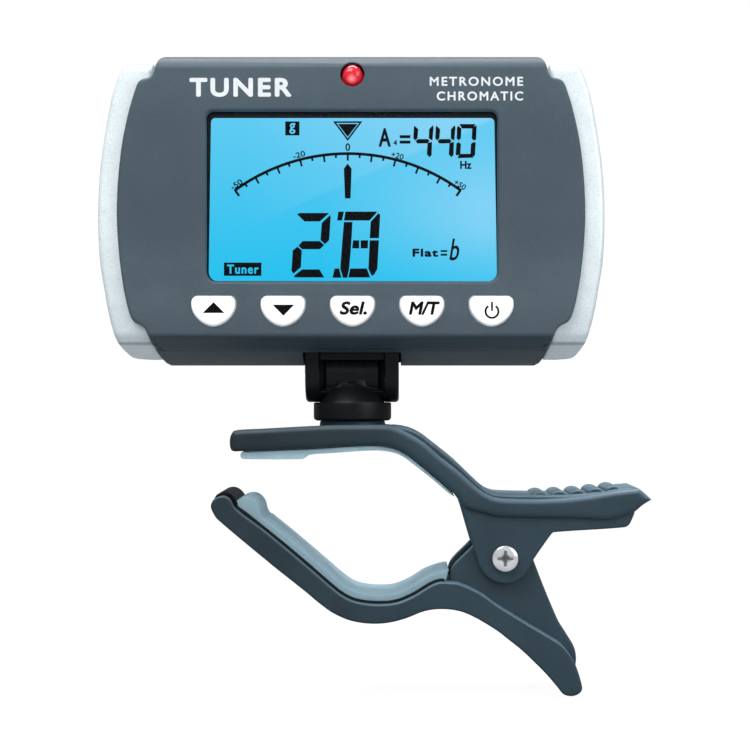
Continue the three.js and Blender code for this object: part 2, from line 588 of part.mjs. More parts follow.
// ---------------------------------------------------------------- keys
// Key cap, a flange behind the face, and a stem towards the switch.
function keyCap(x) {
  return union(
    alongY(keyOutline(x), FACE_Y - KEY.proud, -6.6, 0.2),
    alongY(keyOutline(x, 0.42), -6.7, -6.15),
    rodY(x, SWITCH_Z, 1.1, -6.3, -5.6, 12),
  );
}
for (const { name, x } of KEYS) part(`key_${name}`, keyCap(x), FINISH.key);

// ---------------------------------------------------------------- battery door
const DOOR_PROFILE = [ // [y, z]
  [3.95, DOOR.z0], [4.98, DOOR.z0], [4.98, 51.0], [4.7, 51.78], [4.2, 52.1], [3.95, 52.2],
];
const GRIP = { count: 6, z0: 44, pitch: 0.95, height: 0.45, halfWidth: 5, taper: 0.5 };

function batteryDoor() {
  let door = acrossHead(DOOR_PROFILE, DOOR.halfWidth);
  door = door.add(headBox(DOOR.halfWidth + DOOR.rail, 3.97, 4.4, DOOR.z0 + 0.1, 51.2));
  // thumb grip: shallow grooves, shorter away from the middle one
  for (let i = 0; i < GRIP.count; i++) {
    const z = GRIP.z0 + i * GRIP.pitch;
    const halfWidth = GRIP.halfWidth - Math.abs(i - (GRIP.count - 1) / 2) * GRIP.taper;
    door = door.subtract(headBox(halfWidth, 4.7, 5.5, z, z + GRIP.height));
  }
  return door;
}
part('battery_door', batteryDoor(), FINISH.rearCasing);

// ---------------------------------------------------------------- tilt bracket
function tiltBracket() {
  const [shelfZ0, shelfZ1] = BRACKET.shelfZ;
  const ear = [
    ...arc(0, TILT_Z, EAR_RADIUS, 180, 360, 20),
    [EAR_RADIUS, 14.3],
    [-EAR_RADIUS, 14.3],
  ];
  // room for the neck, wider towards the ears' rim
  const space = turnedTilt([
    [0, -EAR_GAP_AXIS], [EAR_RADIUS, -EAR_GAP_RIM], [5.6, -EAR_GAP_RIM],
    [5.6, EAR_GAP_RIM], [EAR_RADIUS, EAR_GAP_RIM], [0, EAR_GAP_AXIS],
  ], 30).intersect(headBox(8, -8, 8, 2, shelfZ0));
  const bracket = union(
    acrossHead(ear, EAR_HALF_WIDTH).subtract(space),
    headBox(EAR_HALF_WIDTH, -EAR_RADIUS, BRACKET.y1, shelfZ0, shelfZ1),
    alongY(headRect(EAR_HALF_WIDTH, shelfZ0, 23.5, 1.2, 4), 5.1, BRACKET.y1),
  );
  // pin hole, then screw holes with counterbores
  return cut(bracket, tiltRod(0.88, 8, 14), ...SIDES.flatMap(([, side]) => {
    const x = HEAD_X + side * BRACKET.screwOffset;
    return [
      rodY(x, BRACKET.screwZ, 0.95, 4, 8, 12),
      rodY(x, BRACKET.screwZ, 1.6, 6.05, 8, 18),
    ];
  }));
}
part('tilt_bracket', tiltBracket(), FINISH.bracket);
part('tilt_pin', turnedTilt(rodProfile(0.82, -5.7, 5.7, 0.15), 14), FINISH.steel);

const BRACKET_SCREW = {
  seatY: 6.1, headRadius: 1.45, headHeight: 0.8, shankRadius: 0.72, length: 5.2,
};
for (const [name, side] of SIDES) {
  const screw = screwY(HEAD_X + side * BRACKET.screwOffset, BRACKET.screwZ, BRACKET_SCREW);
  part(`bracket_screw_${name}`, screw, FINISH.steel);
}

// ---------------------------------------------------------------- neck
const POST_PROFILE = [ // [radius, z]
  [0, 4.95], [4.8, 4.95], [5.08, 5.08], [5.2, 5.35], [5.2, 7.2], [5.0, 7.6], [4.3, 8.5],
  [3.5, 9.25], [3.0, 9.8], [2.9, 10.2], [0, 10.2],
];
// The shoulders narrow upwards between the ears, [offset, z].
const SHOULDER_EDGE = [[1.95, 15], [1.95, 10.3], [4.3, 7.35], [6, 7.2], [6, 4]];

function swivelPost() {
  const post = turnedSwivel(POST_PROFILE, 30)
    .add(tiltRod(2.9, 4.0, 24))
    .intersect(alongY(mirrored(SHOULDER_EDGE), -7, 7));
  // clearance around both ears, round the tilt axis
  const rim = EAR_RADIUS + 0.17;
  const sweeps = [-1, 1].map((side) => turnedTilt([
    [0, side * (EAR_GAP_AXIS - 0.15)], [rim, side * (EAR_GAP_RIM - 0.16)],
    [rim, side * 8], [0, side * 8],
  ], 30));
  return cut(post, ...sweeps, tiltRod(0.92, 3, 14), swivelRod(1.15, 4, 8.6, 14));
}
part('swivel_post', swivelPost(), FINISH.post);
part('swivel_washer', turnedSwivel(ringProfile(1.25, 2.35, 2.86, 3.12), 20), FINISH.dullSteel);

// Screw up the swivel axis, with a cross recess in its underside.
function swivelScrew() {
  const screw = turnedSwivel([
    [0, 1.98], [2.0, 1.98], [2.2, 2.2], [2.2, 2.8], [1.08, 2.8], [1.08, 7.9], [0.7, 8.3], [0, 8.3],
  ], 20);
  return cut(
    screw,
    headBox(1.2, -0.22, 0.22, 1.5, 2.35),
    headBox(0.22, -1.2, 1.2, 1.5, 2.35),
  );
}
part('swivel_screw', swivelScrew(), FINISH.steel);

// ---------------------------------------------------------------- upper lever
const RIDGE = { halfWidth: 0.95, height: 0.75 };
const pivotHole = (clearance, y0, y1) => (
  rodY(PIVOT.x, PIVOT.z, PIVOT.radius + clearance, y0, y1, 18)
);

function upperLever() {
  const { halfWidth, height } = RIDGE;
  const lever = union(
    alongY(UPPER_BAND, -LEVER_HALF_WIDTH, LEVER_HALF_WIDTH),
    alongY(UPPER_RIB, -5.7, 5.7),
    ...RIDGES.map(([x, z]) => (
      alongY(arc(x, z - height, halfWidth, 0, 180, 8, height), -4.7, 4.7)
    )),
    pairAlongY(UPPER_EAR, UPPER_EAR_Y),
    // round seat under the neck
    turnedSwivel([[0, 4.2], [4.4, 4.2], [4.25, 4.8], [0, 4.8]], 24),
  );
  return cut(
    lever,
    swivelRod(1.2, 0, 6, 18),
    swivelRod(2.6, 0, 3.25, 20),
    pivotHole(0.05, -8, 8),
  );
}
part('upper_lever', upperLever(), FINISH.lever);
part('upper_pad', alongY(UPPER_PAD, -PAD_HALF_WIDTH, PAD_HALF_WIDTH), FINISH.pad);

// ---------------------------------------------------------------- pivot
// The screw's head is at the front and its shank passes through all four ears.
part('pivot_screw', screwY(PIVOT.x, PIVOT.z, {
  seatY: -6.55,
  direction: -1,
  headRadius: 1.75,
  headHeight: 0.85,
  shankRadius: PIVOT.radius,
  length: 13.9,
  recess: 0.58,
}), FINISH.pivotScrew);
part(
  'pivot_nut',
  alongY(hexagon(PIVOT.x, PIVOT.z, 2.3), 6.5, 7.2).subtract(pivotHole(0.05, 6, 8)),
  FINISH.steel,
);
part(
  'pivot_sleeve',
  turnedY(ringProfile(1.06, 1.55, -3.7, 3.7), PIVOT.x, PIVOT.z, 20),
  FINISH.dullSteel,
);

// ---------------------------------------------------------------- torsion spring
const SPRING = { wire: 0.72, radius: 2.3, turns: 4.5, pitch: 0.82 };

function torsionSpring() {
  const { wire, radius, turns, pitch } = SPRING;
  const halfLength = (turns * pitch) / 2;
  const start = 105 * Math.PI / 180;
  const end = start + turns * 2 * Math.PI + 20 * Math.PI / 180;
  const coilPoint = (angle, y) => new THREE.Vector3(
    PIVOT.x + radius * Math.cos(angle),
    y,
    PIVOT.z + radius * Math.sin(angle),
  );
  // point on the coil's tangent, past one of its ends
  const tangentPoint = (angle, y, distance) => coilPoint(angle, y).add(
    new THREE.Vector3(-Math.sin(angle), 0, Math.cos(angle)).multiplyScalar(distance),
  );
  // upper leg: rests under the upper handle
  const points = [
    new THREE.Vector3(42.5, -halfLength + 0.1, -8.35),
    tangentPoint(start, -halfLength, -2.2).add(new THREE.Vector3(0, 0, 0.05)),
  ];
  const steps = 12 * turns;
  for (let i = 0; i <= steps; i++) {
    const share = i / steps;
    points.push(coilPoint(start + (end - start) * share, -halfLength + 2 * halfLength * share));
  }
  // lower leg: rests inside the lower handle
  points.push(tangentPoint(end, halfLength, 2.0));
  points.push(new THREE.Vector3(35.2, halfLength - 0.1, -21.3));
  return solid(new THREE.ExtrudeGeometry(shapeOf(hexagon(0, 0, wire / 2)), {
    steps: 100,
    extrudePath: new THREE.CatmullRomCurve3(points, false, 'centripetal'),
    bevelEnabled: false,
  }));
}
part('torsion_spring', torsionSpring(), FINISH.steel);

// ---------------------------------------------------------------- lower lever
part('lower_lever', cut(
  alongY(LOWER_BAND, -LEVER_HALF_WIDTH, LEVER_HALF_WIDTH).add(pairAlongY(LOWER_WEB, LOWER_EAR_Y)),
  pivotHole(0.08, -8, 8),
), FINISH.lever);
part('lower_pad', alongY(LOWER_PAD, -PAD_HALF_WIDTH, PAD_HALF_WIDTH), FINISH.pad);

export default group;
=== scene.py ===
"""Looks for a clip-on instrument tuner: a display head that swivels on a sprung clip.

Lengths are millimetres in the row frame: the origin is the centre of the upper jaw pad's
gripping face, +Z is up, +X is right of the display, and the display faces -Y.
"""

import bpy
import bmesh
import math
import numpy as np
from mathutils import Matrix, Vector
from mathutils.geometry import delaunay_2d_cdt

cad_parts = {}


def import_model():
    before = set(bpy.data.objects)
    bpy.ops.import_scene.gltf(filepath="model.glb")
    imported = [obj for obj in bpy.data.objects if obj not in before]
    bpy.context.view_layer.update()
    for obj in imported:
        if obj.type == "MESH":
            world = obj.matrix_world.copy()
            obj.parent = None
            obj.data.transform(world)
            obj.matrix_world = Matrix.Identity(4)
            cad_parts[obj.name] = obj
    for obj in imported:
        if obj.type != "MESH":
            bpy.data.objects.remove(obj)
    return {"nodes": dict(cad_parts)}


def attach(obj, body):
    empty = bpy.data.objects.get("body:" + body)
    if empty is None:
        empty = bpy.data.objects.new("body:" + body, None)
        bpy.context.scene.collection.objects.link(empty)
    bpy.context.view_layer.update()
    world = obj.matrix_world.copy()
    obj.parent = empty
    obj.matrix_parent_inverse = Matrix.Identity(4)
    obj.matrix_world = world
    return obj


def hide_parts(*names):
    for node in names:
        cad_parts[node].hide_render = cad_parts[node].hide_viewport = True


MM = 0.001
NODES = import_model()["nodes"]
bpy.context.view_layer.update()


def points(text):
    """Reads a table of coordinate pairs."""
    numbers = [float(word) for word in text.replace(",", " ").split()]
    return list(zip(numbers[::2], numbers[1::2]))


# ------------------------------------------------------------------ dimensions
HEAD_X = 10.4  # middle of the head
FACE_Y = -8.0  # front of the head
SPLIT_Y = -4.65  # back edge of the front shell
INK = 0.02  # thickness of print
PRINT_Y = FACE_Y - 0.012

BUTTON_X = HEAD_X + 0.18  # middle of the key row and of the lamp
KEY_PITCH = 9.0
KEY_NAMES = ["up", "down", "select", "mode", "power"]
KEY_X = [BUTTON_X + KEY_PITCH * i for i in range(-2, 3)]
KEY_HALF_WIDTH = 2.85
KEY_BOTTOM, KEY_TOP = 17.35, 21.2
KEY_FRONT = -8.5
LAMP_Z = 49.9

MARKS_Y = -5.925  # front of the display artwork
SCALE_X, SCALE_Z, SCALE_RADIUS = HEAD_X - 0.47, 14.86, 25.05

TILT_Z = 11.0  # axis of the tilt pin, along X
EAR_RADIUS = 3.6

PIVOT = (30.44, -12.9)  # x, z of the clip's axis, along Y
BAND_HALF = 7.25  # half the width of both levers
PAD_HALF = 6.0
WIRE_RADIUS = 0.36
COIL_RADIUS = 2.3
COIL_TURNS = 4.5
COIL_PITCH = 0.82

# Clip outlines, seen from the front: x z pairs.
UPPER_BAND = points("""
-5.38 2.81, -5.38 1.64, -5.19 1.19, -4.81 1.04, 4.42 1.38, 11.69 1.81, 13.97 1.81, 15.84 1.51,
17.22 0.92, 18.57 0, 21.62 -2.52, 23.71 -4.42, 24.16 -4.99, 25.26 -6.29, 27.47 -6.94,
29.35 -7.45, 33.25 -7.58, 40.26 -7.71, 43.7 -7.84, 45.58 -7.45, 47.27 -6.81, 48.31 -5.97,
49.5 -5.22, 48.57 -4.36, 47.87 -3.79, 44.81 -4.13, 40.26 -4.83, 35.58 -5.18, 30.91 -5.12,
29.74 -5.04, 28.57 -4.77, 27.14 -3.95, 24.16 -1.35, 21.82 0.47, 20.91 1.3, 20 2.08,
19.09 2.7, 18.14 3.25, 17.01 3.84, 15.45 4.39, 13.9 4.5, 10.78 4.5, 7.66 4.47, 4.55 4.34,
-1.17 4.03, -4.29 3.87, -4.94 3.71, -5.19 3.32
""")
UPPER_RIB = points("""
14.6 3.95, 15.6 3.3, 17.01 3.06, 18.18 2.42, 20 1.25, 21.82 -0.31, 24.16 -2.13, 26.88 -4.47,
28.57 -5.51, 30.91 -5.83, 35.58 -5.9, 40.26 -5.51, 44.81 -4.86, 47.6 -4.73, 47.7 -4.12,
46.9 -3.8, 45.6 -3.95, 43.6 -4.28, 41.3 -4.55, 38.9 -4.72, 36.4 -4.77, 33.64 -4.75,
30.13 -4.65, 28.96 -4.49, 27.92 -4.01, 26.79 -3.03, 24.03 -0.39, 21.66 1.56, 20.78 2.23,
19.87 2.94, 18.96 3.51, 18.09 3.9, 17.3 4.12, 16.4 4.27, 15.5 4.3
""")
# Crests of the ridges across the upper handle.
RIDGES = points("35.1 -4.37, 37.64 -4.27, 40.12 -4.13, 42.5 -3.88, 44.78 -3.61")
UPPER_CHEEK = points("""
23.7 -4.0, 24.16 -4.99, 24.68 -6.03, 25.32 -8.1, 25.79 -9.74, 26.23 -11.22, 26.6 -12.39,
27.09 -13.95, 27.71 -14.98, 28.57 -15.7, 29.48 -16.12, 30.44 -16.26, 31.43 -16.16,
32.34 -15.76, 33.12 -15.05, 33.69 -14.08, 34.19 -13.06, 36.5 -9.75, 36.75 -9.53, 46.03 -8.88,
46.62 -8.56, 47.01 -7.84, 47.36 -6.94, 47.4 -6.03, 42.73 -5.64, 35.58 -6.03, 30.91 -6.03,
28.44 -5.64, 26.62 -4.21, 24.81 -3.17
""")
UPPER_PAD = points("""
-3.83 0.96, -4.05 0.73, -4.08 0.34, -3.92 0.08, -3.64 0, 3.9 0, 4.34 0.16, 4.68 0.52,
8.18 0.81, 13.04 1.12, 15.13 1, 16.75 0.52, 18.57 -0.73, 20.91 -2.57, 23.25 -4.55,
23.86 -4.88, 23.68 -4.53, 21.58 -2.64, 18.52 -0.1, 17.17 0.83, 15.81 1.42, 13.97 1.71,
11.69 1.71, 4.42 1.28
""")
LOWER_BAND = points("""
-7.53 -7.01, -7.0 -7.78, -0.12 -13.55, 2.99 -16.03, 4.55 -17.27, 6.1 -18.57, 7.66 -19.74,
8.96 -20.44, 10.52 -21.01, 12.81 -21.35, 15.13 -21.25, 17.4 -20.7, 19.74 -19.79,
21.43 -19.48, 23.25 -19.51, 24.81 -19.82, 26.36 -20.47, 27.92 -21.35, 29.48 -22.34,
31.04 -23.56, 32.6 -24.81, 34.16 -26.29, 35.71 -27.84, 37.27 -29.66, 37.99 -30.51,
38.83 -30.77, 39.61 -30.66, 40.26 -30.25, 40.45 -29.66, 39.81 -27.32, 39.09 -25.7,
37.92 -24.21, 36.75 -23.38, 33.25 -21.3, 29.35 -18.88, 27.14 -17.32, 24.42 -16.1,
22.99 -15.95, 21.82 -15.95, 20.65 -16.42, 18.57 -17.68, 16.23 -18.62, 13.97 -18.82,
11.65 -18.62, 10 -18.1, 8.4 -17.06, 5.84 -14.86, 2.34 -11.87, -1.34 -8.88, -4.58 -6.4,
-5.3 -5.2, -6.0 -4.72, -6.6 -4.72, -7.34 -5.04, -7.73 -5.57, -7.86 -6.16
""")
LOWER_CHEEK = points("""
23.3 -17.3, 24.42 -17.5, 27.14 -18.6, 29.35 -20.05, 33.25 -22.39, 37.27 -24.99, 39.09 -27.06,
39.75 -27.4, 39.85 -25.9, 39.53 -24.55, 38.57 -22.91, 37.32 -20.83, 34.19 -13.06,
34.19 -12.26, 33.64 -10.9, 32.6 -9.79, 31.3 -9.21, 29.61 -8.75, 28.83 -7.73, 27.94 -7.38,
27.27 -8.75, 26.95 -10.18, 26.42 -11.22, 23.85 -13.85, 23.3 -15.0, 23.25 -16.6
""")
LOWER_PAD = points("""
-4.4 -6.45, -1.31 -8.85, 2.37 -11.84, 5.87 -14.82, 8.43 -17.01, 10.02 -18.04, 11.66 -18.55,
13.97 -18.75, 16.22 -18.56, 18.55 -17.61, 20.63 -16.35, 21.78 -15.88, 22.75 -15.83,
23.12 -14.5, 22.5 -14.55, 21.51 -14.82, 20.1 -15.38, 18.05 -16.63, 15.95 -17.49,
13.97 -17.65, 11.86 -17.47, 10.51 -17.05, 9.12 -16.14, 6.6 -13.97, 3.09 -10.97, -0.6 -7.98,
-1.04 -7.74, -1.4 -7.06, -1.58 -6.29, -1.95 -5.64, -2.47 -5.16, -3.12 -4.94, -3.9 -5.04,
-4.45 -5.32, -4.72 -5.7, -4.68 -6.1
""")
# Line of the bed under the lower pad, from the tip towards the pivot.
BED_LINE = points("""
-6.9 -5.05, -4.58 -6.4, -1.34 -8.88, 2.34 -11.87, 5.84 -14.86, 8.4 -17.06, 10 -18.1,
11.65 -18.62, 13.97 -18.82, 16.23 -18.62, 18.57 -17.68, 20.65 -16.42, 21.82 -15.95,
22.55 -15.92
""")
LOWER_TIP = points("""
-4.35 -6.5, -4.5 -5.55, -4.95 -4.85, -5.6 -4.4, -6.4 -4.3, -7.15 -4.62, -7.5 -5.2, -6.9 -5.9,
-5.6 -6.5
""")

# Head outlines, one side only: distance from the head's middle, z.
FACE_EDGE = points("""
24.3 52.5, 25.0 51.95, 25.35 51.1, 25.7 50.0, 26.2 49.6, 27.0 49.4, 27.6 48.95, 28.05 47.8,
28.6 46.05, 29.2 43.6, 29.7 41.0, 30.05 38.2, 30.28 35.3, 30.38 32.0, 30.28 29.2, 30.05 26.3,
29.7 23.5, 29.2 20.7, 28.6 18.6, 28.1 17.85, 27.4 17.5, 26.8 17.05, 26.45 16.4, 25.9 15.0,
25.52 14.19
""")
CAP_EDGE = points("""
25.95 51.7, 29.05 51.7, 29.65 51.3, 30.15 50.4, 30.85 48.6, 31.3 47.0, 31.85 44.1, 32.35 41,
32.75 37.9, 32.97 34.8, 33.05 31.6, 32.97 28.5, 32.75 25.4, 32.25 22.3, 31.7 19.2, 30.95 16.3,
30.35 14.7, 29.65 13.6, 29 12.95, 27.5 12.7, 25.95 12.7
""")
# Heights where the caps' front and back faces are cut across to follow their curve.
CAP_CUTS = [
    13.2, 13.7, 14.2, 14.5, 14.7, 14.8, 14.88, 14.96, 15.04, 15.12, 15.22, 15.5, 15.9, 16.3,
    16.6, 50.5, 50.85, 51.1,
]
FACE_CUTS = [14.75, 15.1, 15.4, 15.65, 15.85, 16.0, 16.2, 16.4, 51.75, 52.0]

# Display artwork, one polygon before each semicolon: distance from the head's middle, z.
SEGMENTS = """
-7.05 31.99, -6.75 32.13, -3.05 32.13, -3.0 32.08, -4.13 31.08, -6.12 31.08;
-2.75 31.87, -2.73 31.57, -2.92 28.63, -3.43 28.11, -4.01 28.63, -3.84 30.85;
-6.37 28.46, -4.13 28.46, -3.58 27.96, -4.13 27.45, -6.42 27.45, -6.88 27.88;
-7.05 27.72, -6.5 27.26, -6.62 25.08, -7.57 24.27, -7.8 24.63, -7.63 27.26;
-6.42 24.76, -4.18 24.76, -3.58 23.76, -7.38 23.76, -7.47 23.94;
-1.68 32.31, -1.0 32.31, -1.25 31.2, -1.83 31.2;
-0.76 32.31, 3.24 32.31, 3.29 32.22, 2.37 31.2, -0.93 31.2;
3.54 32.1, 3.74 31.88, 3.57 28.89, 2.42 28.89, 2.55 31.01;
3.57 28.56, 3.37 24.88, 2.99 24.14, 2.67 23.97, 2.25 24.88, 2.42 28.56;
0.25 28.56, 0.99 28.56, 0.99 27.56, 0.12 27.56;
1.24 28.56, 2.17 28.56, 2.12 27.56, 1.24 27.56;
-0.95 30.95, 0.12 30.95, 0.0 28.89, -0.13 27.01, -0.32 24.88, -0.57 23.72, -1.08 23.72,
-1.43 24.88, -1.13 28.89;
-2.18 24.88, -1.63 24.88, -1.33 23.72, -2.43 23.72;
-0.13 24.88, 2.0 24.88, 2.42 23.76, -0.38 23.76;
8.27 43.44, 8.66 43.06, 8.56 41.93, 8.34 41.73, 8.17 41.93, 8.23 43.26;
8.49 41.53, 8.7 41.73, 9.97 41.73, 10.12 41.57, 9.89 41.33, 8.66 41.31;
10.61 43.49, 10.66 43.26, 10.52 41.73, 10.2 41.93, 10.22 43.06;
10.46 41.33, 10.4 39.73, 10.2 39.54, 9.93 39.86, 10.03 41.26;
11.13 43.44, 11.52 43.06, 11.42 41.93, 11.2 41.73, 11.03 41.93, 11.09 43.26;
11.35 41.53, 11.56 41.73, 12.83 41.73, 12.99 41.57, 12.75 41.33, 11.52 41.31;
13.47 43.49, 13.52 43.26, 13.38 41.73, 13.06 41.93, 13.08 43.06;
13.32 41.33, 13.26 39.73, 13.06 39.54, 12.79 39.86, 12.89 41.26;
13.99 43.44, 14.29 43.13, 14.23 41.93, 14.03 41.73, 13.83 41.93, 13.86 43.26;
14.23 43.7, 16.09 43.7, 15.83 43.26, 14.49 43.26;
16.29 43.49, 16.22 41.8, 15.99 41.7, 15.79 41.93, 15.86 43.13, 16.09 43.4;
13.99 41.33, 14.23 41.13, 14.16 39.93, 13.82 39.73, 13.69 39.86, 13.8 41.19;
16.16 41.3, 16.07 39.73, 15.9 39.6, 15.62 39.86, 15.69 41.13, 15.9 41.33;
14.16 39.8, 15.56 39.8, 15.83 39.44, 13.96 39.39;
6.38 42.24, 7.63 42.24, 7.63 42.0, 6.38 42.0; 6.38 41.53, 7.63 41.53, 7.63 41.29, 6.38 41.29;
11.68 27.28, 12.49 27.28, 12.49 27.09, 11.68 27.09;
11.68 26.8, 12.49 26.8, 12.49 26.6, 11.68 26.6;
-0.49 38.58, 0.0 37.93, -0.13 34.08, -0.81 34.08, -0.96 37.93
"""
# Triangle above the scale: outside and inside of its frame, then its filled middle.
TRIANGLE_OUTER = points("-2.4 44.13, 1.44 44.13, -0.48 41.56")
TRIANGLE_INNER = points("-1.98 43.92, 1.02 43.92, -0.48 41.91")
TRIANGLE_MIDDLE = points("-1.76 43.78, 0.8 43.78, -0.48 42.1")
# Dark blocks that carry clear letters: x from the head's middle, then z.
LABEL_BLOCKS = [(-8.64, -6.78, 42.29, 44.11), (-16.64, -11.75, 23.95, 25.68)]
# Numbers under the scale: words, middle x and z, tilt in degrees.
SCALE_WORDS = [
    ("-50", -15.0, 35.9, 33), ("-20", -6.85, 39.75, 15),
    ("+20", 6.02, 39.65, -15), ("+50", 14.2, 35.85, -33),
]
# Other words: x range, z range, stroke thickening, shear, letter spacing.
DISPLAY_WORDS = [
    ("0", (-0.78, -0.16), (40.24, 41.27), 0.03, 0, 1),
    ("A", (3.56, 5.16), (40.8, 43.24), 0.07, 0, 1),
    ("4", (5.48, 5.97), (40.98, 41.7), 0.03, 0, 1),
    ("Hz", (14.2, 15.68), (37.9, 38.97), 0.05, 0, 1),
    ("Flat", (7.98, 11.34), (26.42, 27.5), 0.07, 0, 1.12),
    ("b", (12.8, 14.1), (25.95, 28.82), 0.03, 0.25, 1),
]
KEY_TRIANGLES = {
    "up": points("-17.73 20.4, -19.14 19.0, -16.33 19.0"),
    "down": points("-10.1 20.06, -7.32 20.06, -8.71 18.64"),
}
# Words on keys: x range from the head's middle, z range.
KEY_WORDS = {
    "select": ("Sel.", (-1.45, 2.08), (18.76, 20.5)),
    "mode": ("M/T", (7.5, 11.5), (18.74, 20.5)),
}


# ------------------------------------------------------------------ outlines
def unit(value):
    """The value held between 0 and 1."""
    return min(1.0, max(0.0, value))


def on_head(outline):
    """Moves head-centred points into the row frame."""
    return [(HEAD_X + x, z) for x, z in outline]


def quarter(steps):
    """Angles that divide a quarter turn."""
    return [k / steps * math.pi / 2 for k in range(steps + 1)]


def ccw(loop):
    """The loop as an array that runs counter-clockwise."""
    loop = np.asarray(loop, float)
    x, z = loop.T
    area = np.sum(x * np.roll(z, -1) - np.roll(x, -1) * z)
    return loop if area > 0 else loop[::-1]


def hermite(u, start, leave, end, arrive):
    """Point at u on the cubic between two points with the given end tangents."""
    return (
        (2 * u**3 - 3 * u**2 + 1) * start
        + (u**3 - 2 * u**2 + u) * leave
        + (-2 * u**3 + 3 * u**2) * end
        + (u**3 - u**2) * arrive
    )


def smooth(outline, step=0.35, corner=40.0):
    """Closed curve through the points, except where it turns by more than corner degrees."""
    outline = ccw(outline)
    edges = np.roll(outline, -1, 0) - outline
    lengths = np.linalg.norm(edges, axis=1)
    heading = edges / lengths[:, None]
    before = np.roll(heading, 1, 0)
    turn = np.degrees(np.arccos(np.clip(np.sum(before * heading, 1), -1, 1)))
    tangent = before * np.roll(lengths, 1)[:, None] + heading * lengths[:, None]
    tangent /= np.linalg.norm(tangent, axis=1)[:, None]
    curve = []
    for i, length in enumerate(lengths):
        j = (i + 1) % len(outline)
        leave = (heading[i] if turn[i] > corner else tangent[i]) * length
        arrive = (heading[i] if turn[j] > corner else tangent[j]) * length
        count = max(1, int(math.ceil(length / step)))
        for k in range(count):
            curve.append(hermite(k / count, outline[i], leave, outline[j], arrive))
    return np.array(curve)


def insets(loop, distances):
    """One copy of the counter-clockwise loop for each distance, moved outward if negative.

    Inward, every point climbs away from the outline and slides along the middle of thin
    parts, so the copies never fold over.
    """
    loop = np.array(loop, float)
    edges = np.roll(loop, -1, 0) - loop
    lengths = np.maximum(np.linalg.norm(edges, axis=1, keepdims=True), 1e-12)
    heading = edges / lengths
    inward = np.stack([-heading[:, 1], heading[:, 0]], 1)
    mitre = inward + np.roll(inward, 1, 0)
    mitre /= np.maximum(np.linalg.norm(mitre, axis=1, keepdims=True), 1e-9)
    reach = 1.0 / np.maximum(np.sum(mitre * inward, 1, keepdims=True), 0.55)
    done = {h: loop + mitre * h * reach for h in distances if h <= 0}

    climbs = sorted(h for h in distances if h > 0)
    if climbs:
        # only the edges near each point matter to it
        middle = loop + edges / 2
        apart = np.linalg.norm(loop[:, None] - middle[None], axis=2) - lengths[:, 0][None] / 2
        count = int((apart < 2.7 * climbs[-1] + 0.8).sum(1).max())
        nearby = np.argsort(apart, axis=1)[:, :count]
        starts, runs = loop[nearby], edges[nearby]
        square = np.maximum((runs**2).sum(2), 1e-18)
        at = min(climbs[0], 0.02)
        moved = loop + mitre * at * reach
    step = 0.035
    for h in climbs:
        for _ in range(int((h - at) / step * 1.9) + 7):
            offset = moved[:, None] - starts
            along = np.clip((offset * runs).sum(2) / square, 0, 1)
            offset = offset - along[:, :, None] * runs
            gap = np.linalg.norm(offset, axis=2)
            nearest = gap.min(1)
            weight = np.exp(-(gap - nearest[:, None]) / 0.012) * (gap > 1e-9)
            away = offset / np.maximum(gap, 1e-9)[:, :, None] * weight[:, :, None]
            away = away.sum(1) / weight.sum(1)[:, None]
            pull = np.linalg.norm(away, axis=1)
            move = np.clip(h - nearest, -step, step)
            move = move / np.maximum(pull, 0.2) / np.maximum(pull, 0.35)
            moved = moved + away * (move * np.clip(pull / 0.15, 0, 1))[:, None]
        at = h
        # edges that now run backwards are closed up
        tidy = moved.copy()
        for _ in range(3):
            now = np.roll(tidy, -1, 0) - tidy
            for i in np.where(np.sum(now * heading, 1) < 0)[0]:
                j = (i + 1) % len(loop)
                tidy[i] = tidy[j] = (tidy[i] + tidy[j]) / 2
        done[h] = tidy
    return [done[h] for h in distances]


def rounded(x0, x1, z0, z1, radius, count):
    """Round-cornered rectangle. radius may list them anticlockwise from the bottom right."""
    radii = radius if isinstance(radius, list) else [radius] * 4
    corners = [(x1, z0, -1, 1), (x1, z1, -1, -1), (x0, z1, 1, -1), (x0, z0, 1, 1)]
    outline = []
    for k, ((x, z, side, rise), r) in enumerate(zip(corners, radii)):
        for i in range(count + 1):
            angle = math.radians(90 * k - 90 + 90 * i / count)
            outline.append((x + side * r + r * math.cos(angle), z + rise * r + r * math.sin(angle)))
    return np.array(outline)


def circle(x, z, radius, count):
    angles = [2 * math.pi * i / count for i in range(count)]
    return np.array([(x + radius * math.cos(a), z + radius * math.sin(a)) for a in angles])


def profile(stations, reach):
    """Depth y as a function of z from (z, y) stations, with corners softened over reach."""
    zs, ys = np.array(stations, float).T
    offsets = np.linspace(-reach, reach, 9)
    weights = 1.0 - np.abs(offsets) / (reach * 1.25)
    weights /= weights.sum()
    return lambda z: float(np.sum(weights * np.interp(z + offsets, zs, ys)))


